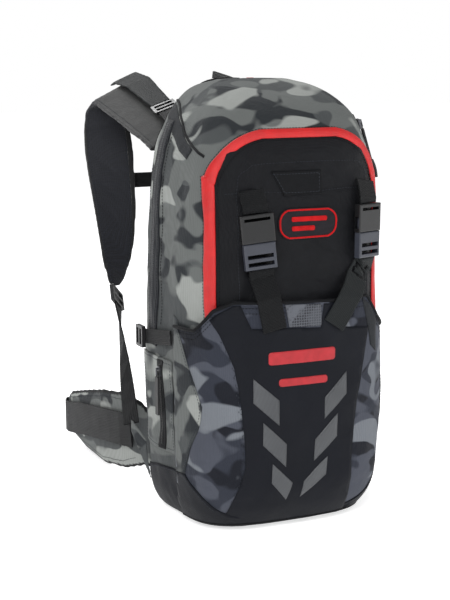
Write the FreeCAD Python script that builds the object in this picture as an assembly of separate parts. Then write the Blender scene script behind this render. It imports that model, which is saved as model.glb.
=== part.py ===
import FreeCAD, Part
import math
import os

# Avalanche airbag backpack, millimetres, +Z up.  The bag's outer face looks towards -Y, the wearer
# stands on the +Y side, and the origin is the middle of the flat base that the pack stands on.
# "Depth" is measured forwards, towards -Y, from the plane of the back panel.

Vector = FreeCAD.Vector

# ---------------------------------------------------------------- driving dimensions
bag_height = 520.0            # base to the top of the bag
bag_half_width = 135.0        # widest half width, at the back panel
bag_front_half_width = 120.0  # widest half width, at the front panel
bag_depth = 190.0             # back plane to the front face

wall = 2.5                    # lined bag fabric with its foam
clearance = 0.3               # gap between pieces of fabric that lie on each other
webbing_thickness = 1.8
panel_thickness = 2.0

mouth_half_width = 98.0       # inverted-U opening of the tool compartment
mouth_top_drop = 62.0         # opening's top, below the top of the bag
mouth_bottom = 196.0
mouth_radius = 60.0
zip_band = 9.0                # width of the red zip band round the opening
divider_depth = 138.0         # sheet between the tool and main compartments

hem_height = 277.0            # stash pocket's top hem at the middle
hem_side_height = 236.0       # and where it meets the sides
pocket_gap = 9.0              # room behind the stash pocket
pocket_bottom = 16.0

strap_thickness = 10.0
lower_webbing_width = 20.0
lock_width = 32.0
lock_height = 26.0
lock_thickness = 5.0

belt_thickness = 14.0
belt_length = 284.0           # reach of a hip wing from the back plane
belt_hinge_radius = 6.5
belt_hinge_depth = -8.0
belt_webbing_width = 44.0
belt_bottom = 10.0            # lowest edge of a wing
lumbar_thickness = 16.0

buckle_width = 39.0           # side-release buckles on the front straps
buckle_height = 62.0
buckle_thickness = 9.0
front_strap_width = 30.0
buckle_travel = 16.0

sternum_width = 20.0
rail_diameter = 4.0
rail_length = 84.0
sternum_travel = 26.0          # the sternum strap slides this far up or down

cylinder_diameter = 60.0
cylinder_height = 225.0
plunger_diameter = 6.0
plunger_travel = 5.0
cable_diameter = 5.0
wire_diameter = 1.6
handle_travel = 30.0
handle_length = 86.0
handle_width = 20.0
handle_thickness = 13.0

slider_width = 9.0
slider_thickness = 4.0


# ---------------------------------------------------------------- plain helpers
def fraction_between(low, high, value):
    """0 at low, 1 at high, eased at both ends."""
    share = min(1.0, max(0.0, (value - low) / (high - low)))
    return share * share * (3.0 - 2.0 * share)


def monotone_curve(knots, values):
    """A smooth function through the given values that never overshoots them."""
    steps = [knots[i + 1] - knots[i] for i in range(len(knots) - 1)]
    rises = [(values[i + 1] - values[i]) / steps[i] for i in range(len(steps))]
    slopes = [rises[0]]
    for i in range(1, len(steps)):
        if rises[i - 1] * rises[i] <= 0.0:
            slopes.append(0.0)
            continue
        first = 2.0 * steps[i] + steps[i - 1]
        second = steps[i] + 2.0 * steps[i - 1]
        slopes.append((first + second) / (first / rises[i - 1] + second / rises[i]))
    slopes.append(rises[-1])

    def curve(at):
        at = min(knots[-1], max(knots[0], at))
        i = 0
        while i < len(steps) - 1 and at > knots[i + 1]:
            i += 1
        t = (at - knots[i]) / steps[i]
        near = (1 + 2 * t) * (1 - t) ** 2 * values[i] + t * (1 - t) ** 2 * steps[i] * slopes[i]
        far = t * t * (3 - 2 * t) * values[i + 1] + t * t * (t - 1) * steps[i] * slopes[i + 1]
        return near + far

    return curve


# ---------------------------------------------------------------- the bag's shape
# One row: height, half width at the back, half width at the front, depth of the front face, depth
# of the back face.  Lower rows are measured up from the base, upper ones down from the top.
back_w = bag_half_width
front_w = bag_front_half_width
lower_rows = [
    (0.0, back_w - 23.0, front_w - 28.0, bag_depth - 38.0, 16.0),
    (10.0, back_w - 14.0, front_w - 17.0, bag_depth - 22.0, 6.0),
    (35.0, back_w - 6.0, front_w - 6.0, bag_depth - 8.0, 0.0),
    (90.0, back_w - 1.0, front_w - 1.0, bag_depth - 2.0, 0.0),
    (180.0, back_w, front_w, bag_depth, 0.0),
]
upper_rows = [
    (220.0, back_w - 3.0, front_w - 2.0, bag_depth - 1.0, 0.0),
    (120.0, back_w - 10.0, front_w - 6.0, bag_depth - 3.0, 0.0),
    (80.0, back_w - 18.0, front_w - 11.0, bag_depth - 6.0, 0.0),
    (58.0, back_w - 27.0, front_w - 16.0, bag_depth - 12.0, 0.0),
    (40.0, back_w - 36.0, front_w - 22.0, bag_depth - 24.0, 1.0),
    (26.0, back_w - 47.0, front_w - 31.0, bag_depth - 42.0, 5.0),
    (14.0, back_w - 59.0, front_w - 43.0, bag_depth - 66.0, 12.0),
    (6.0, back_w - 71.0, front_w - 56.0, bag_depth - 88.0, 22.0),
    (0.0, back_w - 93.0, front_w - 78.0, bag_depth - 114.0, 36.0),
]
rows = lower_rows + [(bag_height - row[0],) + row[1:] for row in upper_rows]
row_heights = [row[0] for row in rows]
half_back_at, half_front_at, front_at, back_at = [
    monotone_curve(row_heights, [row[column] for row in rows]) for column in range(1, 5)
]
back_y = (front_at(0.0) + back_at(0.0)) / 2.0   # the base's middle is the origin
front_roundness = 3.4
back_roundness = 6.5
section_steps = 40


def place(x, depth, z):
    return Vector(x, back_y - depth, z)


def section_point(z, angle, side, front, back):
    """A point of the bag's outline at a height, moved outwards by the given amounts."""
    cosine = math.cos(angle)
    sine = math.sin(angle)
    power = back_roundness if sine >= 0 else front_roundness
    reach = (abs(cosine) ** power + abs(sine) ** power) ** (-1.0 / power)
    across = cosine * reach
    along = sine * reach
    wide = half_back_at(z)
    narrow = half_front_at(z)
    half = wide + (narrow - wide) * (1.0 - along) / 2.0 + side
    front_depth = front_at(z) + front
    back_depth = back_at(z) - back
    middle = (front_depth + back_depth) / 2.0
    return (across * half, middle - along * (front_depth - back_depth) / 2.0)


def side_x(z, depth):
    """Half width of the bag at a height and depth."""
    share = (front_at(z) + back_at(z) - 2.0 * depth) / (front_at(z) - back_at(z))
    share = min(0.999, max(-0.999, share))
    power = back_roundness if share >= 0 else front_roundness
    wide = half_back_at(z)
    narrow = half_front_at(z)
    half = wide + (narrow - wide) * (1.0 - share) / 2.0
    return half * (1.0 - abs(share) ** power) ** (1.0 / power)


def face_depth(z, x):
    """Depth of the bag's front face at a height and a sideways place."""
    middle = (front_at(z) + back_at(z)) / 2.0
    share = min(0.999, abs(x) / half_front_at(z))
    rounding = (1.0 - share ** front_roundness) ** (1.0 / front_roundness)
    return middle + (front_at(z) - middle) * rounding


def loft(outlines):
    solid = Part.makeLoft(outlines, True)
    return solid if solid.Volume > 0 else solid.reversed()


def closed_spline(points):
    count = len(points)
    steps = [step / count for step in range(count + 1)]
    curve = Part.BSplineCurve()
    curve.interpolate(Points=points, PeriodicFlag=True, Parameters=steps)
    return Part.Wire([curve.toShape()])


loft_levels = [0, 5, 10, 20, 35, 60, 90, 135, 180]
drops = (260, 220, 170, 120, 98, 80, 68, 58, 49, 40, 33, 26, 20, 14, 6, 0)
loft_levels += [bag_height - drop for drop in drops]
loft_cache = {}


def bag_body(side, front=None, back=None, end=None):
    """The bag's solid moved outwards: at the sides, front, back, and at its top and base."""
    front = side if front is None else front
    back = side if back is None else back
    end = side if end is None else end
    key = (side, front, back, end)
    if key in loft_cache:
        return loft_cache[key].copy()
    outlines = []
    for z in loft_levels:
        top_share = fraction_between(bag_height - 80.0, bag_height, z)
        base_share = 1.0 - fraction_between(0.0, 30.0, z)
        height = z + end * (top_share - base_share)
        pocket = fraction_between(pocket_bottom, pocket_bottom + 50.0, z) if front > side + 3.0 else 1.0
        ahead = side + (front - side) * pocket
        points = []
        for step in range(section_steps):
            x, depth = section_point(z, 2.0 * math.pi * step / section_steps, side, ahead, back)
            points.append(place(x, depth, height))
        outlines.append(closed_spline(points))
    loft_cache[key] = loft(outlines)
    return loft_cache[key].copy()


def box(x0, x1, depth0, depth1, z0, z1):
    low = place(min(x0, x1), max(depth0, depth1), min(z0, z1))
    return Part.makeBox(abs(x1 - x0), abs(depth1 - depth0), abs(z1 - z0), low)


def rounded_box(x0, x1, depth0, depth1, z0, z1, radius):
    body = box(x0, x1, depth0, depth1, z0, z1)
    return body.makeFillet(radius, body.Edges)


def front_prism(points, near=110.0, far=260.0):
    """Outline in the front view, points (x, z), carried through the front half of the bag."""
    corners = [place(x, near, z) for x, z in points]
    face = Part.Face(Part.makePolygon(corners + [corners[0]]))
    return face.extrude(Vector(0, near - far, 0))


def side_prism(points, side, near=60.0, far=190.0):
    """Outline in the side view, points (depth, z), carried out through one side of the bag."""
    corners = [place(side * near, depth, z) for depth, z in points]
    face = Part.Face(Part.makePolygon(corners + [corners[0]]))
    return face.extrude(Vector(side * (far - near), 0, 0))


def skin(prism, gap, thickness, front=None):
    """A sheet that follows the bag inside an outline, standing off it by a gap."""
    outside = prism.common(bag_body(gap + thickness, None if front is None else front + thickness))
    return outside.cut(bag_body(gap, front))


def arch(half, bottom, top, radius, x_middle=0.0, steps=8):
    """Points of an inverted U: straight legs, rounded top corners."""
    points = [(x_middle - half, bottom)]
    for step in range(steps + 1):
        angle = math.pi - math.pi / 2.0 * step / steps
        from_left = radius + radius * math.cos(angle)
        points.append((x_middle - half + from_left, top - radius + radius * math.sin(angle)))
    for step in range(steps + 1):
        angle = math.pi / 2.0 - math.pi / 2.0 * step / steps
        from_right = radius - radius * math.cos(angle)
        points.append((x_middle + half - from_right, top - radius + radius * math.sin(angle)))
    points.append((x_middle + half, bottom))
    return points


def skinned(outlines):
    """A closed solid of flat facets through outlines that have the same number of points."""
    count = len(outlines[0])
    ends = (outlines[0], outlines[-1])
    faces = [Part.Face(Part.makePolygon(outline + [outline[0]])) for outline in ends]
    for near, far in zip(outlines, outlines[1:]):
        for i in range(count):
            j = (i + 1) % count
            for corners in ((near[i], near[j], far[j]), (near[i], far[j], far[i])):
                faces.append(Part.Face(Part.makePolygon(list(corners) + [corners[0]])))
    shell = Part.makeShell(faces)
    shell.sewShape()
    solid = Part.makeSolid(Part.Shell(shell.Faces))
    return solid if solid.Volume > 0 else solid.reversed()


def slab_loft(stations, across, through, steps=12):
    """A band with rounded edges through stations (middle, width vector, thickness vector)."""
    outlines = []
    for middle, width, thick in stations:
        points = []
        for step in range(steps):
            angle = 2.0 * math.pi * (step + 0.5) / steps
            u = math.copysign(abs(math.cos(angle)) ** across, math.cos(angle))
            v = math.copysign(abs(math.sin(angle)) ** through, math.sin(angle))
            points.append(middle + width * (u / 2.0) + thick * (v / 2.0))
        outlines.append(points)
    return skinned(outlines)


def ribbon(points, width_directions, width, thickness):
    """A flat strap of constant width through a list of points, as straight stretches."""
    outlines = []
    for i, point in enumerate(points):
        before = points[max(i - 1, 0)]
        after = points[min(i + 1, len(points) - 1)]
        along = (after - before).normalize()
        wide = width_directions[i] if isinstance(width_directions, list) else width_directions
        wide = (wide - along * wide.dot(along)).normalize()
        a = wide * (width / 2.0)
        b = along.cross(wide).normalize() * (thickness / 2.0)
        outlines.append([point + a + b, point - a + b, point - a - b, point + a - b])
    return skinned(outlines)


def rod(start, end, diameter):
    return Part.makeCylinder(diameter / 2.0, (end - start).Length, start, end - start)


def mirrored(shape):
    return shape.mirror(Vector(0, 0, 0), Vector(1, 0, 0))


def both(shape):
    return Part.makeCompound([shape, mirrored(shape)])


os.makedirs("parts", exist_ok=True)


def write(name, shape):
    shape.exportStep("parts/" + name + ".step")


# ---------------------------------------------------------------- bag shell, divider, front panel
mouth_top = bag_height - mouth_top_drop
mouth_outline = arch(mouth_half_width, mouth_bottom, mouth_top, mouth_radius)
bag_shell = bag_body(0.0).cut(bag_body(-wall))
bag_shell = bag_shell.cut(front_prism(mouth_outline, near=divider_depth + 6.0))
cable_port = place(97.0, 0.0, bag_height - 70.0)
bore_radius = cable_diameter / 2.0 + 1.0
port_bore = Part.makeCylinder(bore_radius, 40.0, cable_port + Vector(0, 12, 0), Vector(0, -1, 0))
write("bag_shell", bag_shell.cut(port_bore))

divider = box(-150, 150, divider_depth, divider_depth + 1.5, 24.0, bag_height - 62.0)
write("divider", divider.common(bag_body(-wall - clearance)))

panel_outline = arch(mouth_half_width + 4.0, mouth_bottom - 4.0, mouth_top + 4.0, mouth_radius + 4.0)
write("front_panel", skin(front_prism(panel_outline), clearance, 1.2))

band_half = mouth_half_width + zip_band
outer_band = arch(band_half, mouth_bottom, mouth_top + zip_band - 2.0, mouth_radius + zip_band)
inner_band = arch(mouth_half_width - 1.0, mouth_bottom - 5.0, mouth_top - 3.0, mouth_radius - 1.0)
band = front_prism(outer_band).cut(front_prism(inner_band))
write("red_zip_band", skin(band, clearance + 1.2 + clearance, 1.0))

patch_top = bag_height - 99.0
patch_outline = [(-39, patch_top), (23, patch_top), (23, patch_top - 27), (-24, patch_top - 27)]
write("daisy_patch", skin(front_prism(patch_outline), clearance + 1.2 + clearance, 1.4))

# ---------------------------------------------------------------- stash pocket on the lower front
hem_points = [
    (-150, hem_side_height), (-118, hem_side_height + 6), (-104, hem_height - 10), (-85, hem_height),
    (50, hem_height - 5), (80, hem_height - 3), (100, hem_side_height + 10), (118, hem_side_height - 6),
    (150, hem_side_height - 10), (150, 2), (-150, 2),
]
side_reach = 112.0   # depth from which the pocket's sides wrap
pocket_prism = front_prism(hem_points, near=side_reach)
outer_pocket = bag_body(clearance + panel_thickness, pocket_gap + panel_thickness)
inner_pocket = bag_body(clearance, pocket_gap)
write("stash_pocket", pocket_prism.common(outer_pocket).cut(inner_pocket))

panel_top = hem_height - 33.0
centre_panel = [
    (-100, panel_top), (-86, panel_top - 42), (-76, 130), (-74, 84), (-82, 50), (-90, 18),
    (62, 14), (60, 80), (64, 124), (72, 175), (84, panel_top - 8), (50, panel_top - 4), (17, panel_top - 1),
]
front_of_pocket = pocket_gap + panel_thickness + clearance
side_of_pocket = clearance + panel_thickness + clearance
panel_prism = front_prism(centre_panel, near=150.0)
outer_panel = bag_body(side_of_pocket + 1.0, front_of_pocket + 1.0)
write("pocket_panel", panel_prism.common(outer_panel).cut(bag_body(side_of_pocket, front_of_pocket)))

chevron_front = front_of_pocket + 1.0 + clearance
chevron_side = side_of_pocket + 1.0 + clearance
chevron_shell = bag_body(chevron_side + 0.6, chevron_front + 0.6).cut(bag_body(chevron_side, chevron_front))
chevrons = [   # slanted bars that point down to the middle, measured down from the panel's top
    [(-66, 54), (-35, 81.5), (-35, 111), (-66, 82)],
    [(-54, 106), (-25, 134), (-25, 162), (-54, 133)],
    [(-42, 156), (-16, 182), (-21, 204), (-42, 180)],
    [(23, 84), (52, 56), (52, 82.5), (23, 109.5)],
    [(11.5, 133), (40, 104.5), (40, 132), (11, 159)],
    [(-1.5, 182.5), (28, 155), (27.5, 177.5), (-3.5, 202.5)],
]
pieces = []
for bar in chevrons:
    outline = [(x, panel_top - drop) for x, drop in bar]
    pieces.append(front_prism(outline, near=160.0).common(chevron_shell))
write("reflective_bars", Part.makeCompound(pieces))

# ---------------------------------------------------------------- base, side panels and zips
boot_outline = [(15, 3), (15, 52), (60, 66), (side_reach - 2, 70), (side_reach - 2, 3)]
write("boot_panels", both(skin(side_prism(boot_outline, -1), clearance, 1.2)))

flap_width = 24.0
flap_points = [(62, 205), (62, bag_height - 46), (62 - flap_width, bag_height - 46), (62 - flap_width, 205)]
write("airbag_zip_flaps", both(skin(side_prism(flap_points, -1, near=50.0), clearance, 1.6)))

pocket_zip_depth = 78.0
pocket_points = [(20, 84), (20, 196), (104, 196), (104, 84)]
write("side_pocket_left", skin(side_prism(pocket_points, -1), clearance, 1.4))
tape_lift = clearance + 1.4 + clearance
tape_thickness = 0.9
tape_half_width = 5.0


def tape_outline(depth, low, high):
    near = depth - tape_half_width
    far = depth + tape_half_width
    return [(near, low), (near, high), (far, high), (far, low)]


pocket_tape = skin(side_prism(tape_outline(pocket_zip_depth, 90, 190), -1), tape_lift, tape_thickness)
main_zip_depth = 124.0
main_zip_top = bag_height - 42.0
main_outline = tape_outline(main_zip_depth, hem_height, main_zip_top)
main_tape = skin(side_prism(main_outline, 1, near=40.0), clearance, tape_thickness)
write("zip_tapes", Part.makeCompound([pocket_tape, main_tape]))

# ---------------------------------------------------------------- back panel, frame sheet and stays
back_top = bag_height - 96.0
back_panel = box(-92, 92, -clearance, -5.0, 122, back_top)
corners = [edge for edge in back_panel.Edges if abs(edge.tangentAt(0).y) > 0.9]
back_panel = back_panel.makeFillet(20.0, corners)
write("back_panel", back_panel)
pads = []
pad_height = (back_top - 122 - 3 * 12.0) / 2.0
for side in (-1, 1):
    for level in range(2):
        low = 122 + 12.0 + level * (pad_height + 12.0)
        pad = rounded_box(side * 14.0, side * 84.0, -5.0 - clearance, -15.0, low, low + pad_height, 4.5)
        pads.append(pad)
write("back_pads", Part.makeCompound(pads))
hinge_x = 112.0
lumbar_half = hinge_x - belt_hinge_radius - clearance
lumbar = box(-lumbar_half, lumbar_half, -2 * clearance, -lumbar_thickness, 30, 114)
lumbar = lumbar.makeFillet(6.0, [edge for edge in lumbar.Edges if abs(edge.tangentAt(0).x) > 0.9])
write("lumbar_pad", lumbar)

frame_top = bag_height - 80.0
sheet_depth = wall + 2.0
sheet_half = bag_half_width - 55.0
write("frame_sheet", box(-sheet_half, sheet_half, sheet_depth, sheet_depth + 1.5, 60, frame_top))
stay_depth = sheet_depth + 1.5 + clearance
stay = box(-62, -50, stay_depth, stay_depth + 3.0, 70, frame_top - 10.0)
write("frame_stays", both(stay))

# ---------------------------------------------------------------- shoulder straps
# Stations from the root at the back panel, over the shoulder and down to the end tab:
# outer edge and inner edge of the left strap as (x, reach from the back plane, drop from the top).
strap_stations = [
    ((-110, 6, 88), (-48, 6, 70)),
    ((-112, 40, 77), (-51, 50, 52)),
    ((-115, 95, 63), (-56, 110, 32)),
    ((-117, 150, 50), (-60, 160, 15)),
    ((-120, 196, 39), (-64, 186, 9)),
    ((-122, 222, 50), (-68, 196, 26)),
    ((-122, 231, 76), (-70, 184, 62)),
    ((-122, 228, 107), (-71, 167, 100)),
    ((-122, 214, 140), (-71, 163, 138)),
    ((-122, 198, 170), (-71, 159.5, 171)),
    ((-122, 181, 205), (-72, 160, 208)),
    ((-122, 164, 239), (-78, 163, 243)),
    ((-119, 151, 266), (-90, 160, 269)),
    ((-113, 150, 277), (-98, 156, 278)),
]
strap_edges = []
for outer, inner in strap_stations:
    outer_point = place(outer[0], -outer[1], bag_height - outer[2])
    inner_point = place(inner[0], -inner[1], bag_height - inner[2])
    strap_edges.append((outer_point, inner_point))


def strap_frame(i):
    """Middle, width vector and outward unit normal of the left strap at a station."""
    outer, inner = strap_edges[i]
    middle = (outer + inner) * 0.5
    before = strap_edges[max(i - 1, 0)]
    after = strap_edges[min(i + 1, len(strap_edges) - 1)]
    along = ((after[0] + after[1]) - (before[0] + before[1])).normalize()
    width = inner - outer
    flat = (width - along * width.dot(along)).normalize()
    normal = flat.cross(along).normalize()
    return middle, width, normal, along


def strap_point(i, share, lift):
    """A point over the left strap: share 0 at its outer edge, 1 at its inner edge."""
    middle, width, normal, along = strap_frame(i)
    return middle + width * (share - 0.5) + normal * lift


strap_sections = []
for i in range(len(strap_edges)):
    middle, width, normal, along = strap_frame(i)
    strap_sections.append((middle, width, normal * strap_thickness))
strap = slab_loft(strap_sections, 0.35, 0.55)
strap = strap.cut(box(-200, 0, -clearance, 60, bag_height - 200, bag_height))
write("shoulder_strap_left", strap)
write("shoulder_strap_right", mirrored(strap))

# Load lifter: a tapered flap sewn on top of the strap, a ladder lock and a webbing to the bag.
strap_top = bag_height + strap_thickness / 2.0
lift_stations = [
    (place(-75, -214, strap_top - 17), 30.0),
    (place(-72, -198, strap_top - 10.5), 38.0),
    (place(-71, -150, strap_top - 15), 35.0),
    (place(-70, -85, strap_top - 35), 28.0),
    (place(-69, -72, strap_top - 39), 26.0),
]
lifter_tilt = Vector(0.86, 0, 0.36)
outlines = []
for i, (middle, width) in enumerate(lift_stations):
    before = lift_stations[max(i - 1, 0)][0]
    after = lift_stations[min(i + 1, len(lift_stations) - 1)][0]
    along = (after - before).normalize()
    flat = (lifter_tilt - along * lifter_tilt.dot(along)).normalize()
    outlines.append((middle, flat * width, along.cross(flat) * 3.0))
lifter = slab_loft(outlines, 0.3, 0.6)
write("load_lifter_flaps", both(lifter))
lock_middle = place(-69, -60.5, strap_top - 43.0)
anchor_middle = place(-72, -3.0, bag_height - 55)
lift_along = (anchor_middle - lock_middle).normalize()
lift_flat = (lifter_tilt - lift_along * lifter_tilt.dot(lift_along)).normalize()
lift_normal = lift_along.cross(lift_flat)


def ladder_lock(middle, along, flat, width, height, thickness):
    """A moulded frame with two slots and a cross bar between them."""
    normal = along.cross(flat).normalize()
    frame = FreeCAD.Placement(middle, FreeCAD.Rotation(flat, along, normal, "XYZ"))
    body = Part.makeBox(width, height, thickness, Vector(-width / 2, -height / 2, -thickness / 2))
    body = body.makeFillet(2.0, [edge for edge in body.Edges if abs(edge.tangentAt(0).z) > 0.9])
    slot = (height - 3 * 3.5) / 2.0
    for low in (-height / 2 + 3.5, 1.75):
        body = body.cut(Part.makeBox(width - 7.0, slot, 20, Vector(-(width - 7.0) / 2, low, -10)))
    body.Placement = frame
    return body


def strap_through_lock(start, end, flat, width):
    return ribbon([start, end], flat, width, webbing_thickness)


lifter_lock = ladder_lock(lock_middle, lift_along, lift_flat, 31.0, 22.0, 4.0)
lift_start = lock_middle + lift_along * 11.3
write("lifter_webbing", both(strap_through_lock(lift_start, anchor_middle, lift_flat, 24.0)))

# Lower webbing: strap end tab, ladder lock, webbing down to the fin on the bag's lower side.
tab_end = strap_point(len(strap_edges) - 1, 0.5, 0.0)
fin_tip = place(-bag_half_width - 5.0, -4.0, 96.0)
tab_lock = tab_end + (fin_tip - tab_end).normalize() * 17.0
lower_along = (fin_tip - tab_lock).normalize()
lower_flat = Vector(0.55, 0.83, 0)
lower_flat = (lower_flat - lower_along * lower_flat.dot(lower_along)).normalize()
strap_lock = ladder_lock(tab_lock, lower_along, lower_flat, lock_width, lock_height, lock_thickness)
lower_start = tab_lock + lower_along * (lock_height / 2 + clearance)
lower_points = [lower_start + (fin_tip - lower_start) * (step / 6.0) for step in range(7)]
turns = []
for step in range(7):
    angle = math.radians(34.0 - 88.0 * step / 6.0)
    turns.append(Vector(math.sin(angle), math.cos(angle), 0))
write("lower_webbing", both(ribbon(lower_points, turns, lower_webbing_width, webbing_thickness)))

# Fins: triangles of bag fabric from the lower sides to the strap webbing.
fin_outlines = []
for root_share in (0.0, 1.0):
    low = 34.0 + (fin_tip.z - 10.0 - 34.0) * root_share
    high = 76.0 + (fin_tip.z + 6.0 - 76.0) * root_share
    depth = 30.0 + (-4.0 - 30.0) * root_share
    root_x = 2.0 - side_x(60.0, 30.0)
    inner_x = root_x + (fin_tip.x + 1.5 - root_x) * root_share
    fin_outlines.append([
        place(inner_x - 2.4, depth, low), place(inner_x - 2.4, depth, high),
        place(inner_x, depth, high), place(inner_x, depth, low),
    ])
fin = skinned(fin_outlines)
room = 2 * clearance
webbing_room = ribbon(lower_points, turns, lower_webbing_width + room, webbing_thickness + room)
write("side_fins", both(fin.cut(bag_body(clearance + 1.5)).cut(webbing_room)))

# ---------------------------------------------------------------- hip belt
belt_stations = [
    (12.0, -114.0, 0.57, 36.0, 112.0),
    (26.0, -118.5, 0.93, 31.0, 120.0),
    (60.0, -127.0, 1.0, 20.0, 125.0),
    (125.0, -133.0, 1.0, 10.0, 115.0),
    (200.0, -134.5, 1.0, 12.0, 98.0),
    (262.0, -134.0, 0.93, 19.0, 82.0),
    (284.0, -133.0, 0.57, 30.0, 70.0),
]
belt_rise = belt_bottom - 10.0
wing_sections = []
for reach, x, share, low, high in belt_stations:
    middle = place(x, -reach * belt_length / 284.0, (low + high) / 2.0 + belt_rise)
    wing_sections.append((middle, Vector(0, 0, high - low), Vector(belt_thickness * share, 0, 0)))
wing = slab_loft(wing_sections, 0.4, 0.6)
knuckle = Part.makeCylinder(belt_hinge_radius, 76.0, place(-hinge_x, belt_hinge_depth, 36.0))
wing = wing.fuse(knuckle).removeSplitter()
write("belt_wing_left", wing)
write("belt_wing_right", mirrored(wing))

web_middle = monotone_curve([20, 60, 125, 200, 262, 284], [80.0, 76.0, 68.0, 56.0, 44.0, 42.0])
wing_x = monotone_curve([row[0] for row in belt_stations], [-row[1] for row in belt_stations])
wing_share = monotone_curve([row[0] for row in belt_stations], [row[2] for row in belt_stations])
web_points = []
for reach in (34, 60, 92, 125, 162, 200, 232, 262, 278):
    half_wing = belt_thickness * wing_share(reach) / 2.0
    stand_off = half_wing + clearance + webbing_thickness / 2.0 + 0.7
    outside = -wing_x(reach) - stand_off
    web_points.append(place(outside, -reach * belt_length / 284.0, web_middle(reach) + belt_rise))
turn_reach = belt_length + 6.0
turn_z = web_middle(284) + belt_rise
inside = belt_thickness * 0.5 + 2.0
web_points.append(place(-wing_x(284) - 2.0, -turn_reach, turn_z))
web_points.append(place(-wing_x(284) + 5.0, -turn_reach, turn_z))
web_points.append(place(-wing_x(278) + inside, -belt_length + 4.0, web_middle(278) + belt_rise))
web_points.append(place(-wing_x(262) + inside + 0.4, -belt_length + 24.0, web_middle(262) + belt_rise))
belt_webbing = ribbon(web_points, Vector(0, 0, 1), belt_webbing_width, webbing_thickness)
write("belt_webbing_left", belt_webbing)
write("belt_webbing_right", mirrored(belt_webbing))

buckle_x = -wing_x(240) + belt_thickness * 0.5 + 5.5
buckle_z = web_middle(240) + belt_rise
buckle_near = -belt_length + 25.0
belt_buckle = box(
    buckle_x - 2.0, buckle_x + 10.0, buckle_near, buckle_near + 55.0, buckle_z - 26, buckle_z + 26,
)
belt_buckle = belt_buckle.makeFillet(2.5, belt_buckle.Edges)
window_near = buckle_near + 9.0
window = box(buckle_x - 20, buckle_x + 20, window_near, window_near + 10.0, buckle_z - 20, buckle_z + 20)
write("belt_buckle_socket", belt_buckle.cut(window))
plug = mirrored(belt_buckle.cut(window))
gap_near = buckle_near + 31.0
for gap_low in (buckle_z - 12.0, buckle_z + 6.0):
    gap = box(-buckle_x - 20, -buckle_x + 20, gap_near, gap_near + 34.0, gap_low, gap_low + 6.0)
    plug = plug.cut(gap)
write("belt_buckle_plug", plug)

# ---------------------------------------------------------------- compression straps
strap_lift = clearance + 1.6 + clearance + webbing_thickness / 2.0 + 0.4
comp_points = []
for depth in (14.0, 27.0, 40.0, 55.0, 70.0, 83.0, 96.0, 108.0):
    z = 212.0 + (depth - 14.0) * 0.14
    comp_points.append(place(-side_x(z, depth) - strap_lift, depth, z))
write("compression_straps", both(ribbon(comp_points, Vector(0, 0, 1), 18.0, webbing_thickness)))
over_strap = strap_lift + webbing_thickness / 2.0 + 2 * clearance
lock_x = -side_x(214.5, 36) - over_strap - 2.3
comp_middle = place(lock_x, 30.0, 214.5)
comp_lock = ladder_lock(comp_middle, Vector(0, -1, 0), Vector(0, 0, 1), 26.0, 22.0, 4.6)
locks = [strap_lock, lifter_lock, comp_lock]
write("ladder_locks", Part.makeCompound(locks + [mirrored(lock) for lock in locks]))
side_buckle_x = side_x(218, 50) + over_strap
write("compression_buckle", rounded_box(side_buckle_x, side_buckle_x + 10.0, 50.0, 96.0, 205, 236, 3.0))

# ---------------------------------------------------------------- front straps and their buckles
front_lift = clearance + 1.2 + clearance + 1.0 + clearance


def front_frame(x, z, lean):
    """Placement on the front panel: local X to the right, Y up along the strap, Z outwards."""
    depth = face_depth(z, x) + front_lift
    ahead = face_depth(z, x + 4.0) - face_depth(z, x - 4.0)
    level = Vector(8.0, -ahead, 0).normalize()
    upright = Vector(0, 0, 1)
    right = level * math.cos(lean) - upright * math.sin(lean)
    up = upright * math.cos(lean) + level * math.sin(lean)
    return FreeCAD.Placement(place(x, depth, z), FreeCAD.Rotation(right, up, right.cross(up), "XYZ"))


def socket_shape():
    """Upper half of a side-release buckle: a hollow box open at the bottom and at both sides."""
    height = buckle_height * 0.52
    corner = Vector(-buckle_width / 2, buckle_height * 0.48, 0)
    body = Part.makeBox(buckle_width, height, buckle_thickness, corner)
    body = body.makeFillet(1.6, [edge for edge in body.Edges if abs(edge.tangentAt(0).z) < 0.1])
    hollow = Part.makeBox(buckle_width - 7.0, height - 12.0, buckle_thickness - 3.0)
    hollow.translate(Vector(-(buckle_width - 7.0) / 2, buckle_height * 0.48 - 1.0, 1.5))
    windows = Part.makeBox(buckle_width + 4.0, height * 0.42, buckle_thickness - 3.0)
    windows.translate(Vector(-buckle_width / 2 - 2.0, buckle_height * 0.48 + 4.0, 1.5))
    bar_slot = Part.makeBox(front_strap_width, 3.4, 30)
    bar_slot.translate(Vector(-front_strap_width / 2, buckle_height - 7.5, -10))
    return body.cut(hollow).cut(windows).cut(bar_slot)


def plug_shape():
    """Lower half: two spring prongs and a guide that slide into the socket, and a ladder bar."""
    base_top = buckle_height * 0.48 - clearance
    body = Part.makeBox(buckle_width - 2.0, base_top, buckle_thickness, Vector(1.0 - buckle_width / 2, 0, 0))
    body = body.makeFillet(1.6, [edge for edge in body.Edges if abs(edge.tangentAt(0).z) < 0.1])
    for slot_low in (4.0, 12.5):
        slot = Part.makeBox(front_strap_width, 4.6, 30, Vector(-front_strap_width / 2, slot_low, -10))
        body = body.cut(slot)
    prong_height = buckle_travel + 1.2
    inner = buckle_width - 7.0 - 2 * 0.6
    tongue = Part.makeBox(7.0, prong_height, buckle_thickness - 4.2, Vector(-3.5, base_top - 0.5, 2.1))
    parts = [body, tongue]
    for side in (-1, 1):
        prong = Part.makeBox(5.0, prong_height, buckle_thickness - 4.2)
        prong.translate(Vector(side * (inner / 2 - 2.5) - 2.5, base_top - 0.5, 2.1))
        parts.append(prong)
    result = parts[0]
    for piece in parts[1:]:
        result = result.fuse(piece)
    return result


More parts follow.
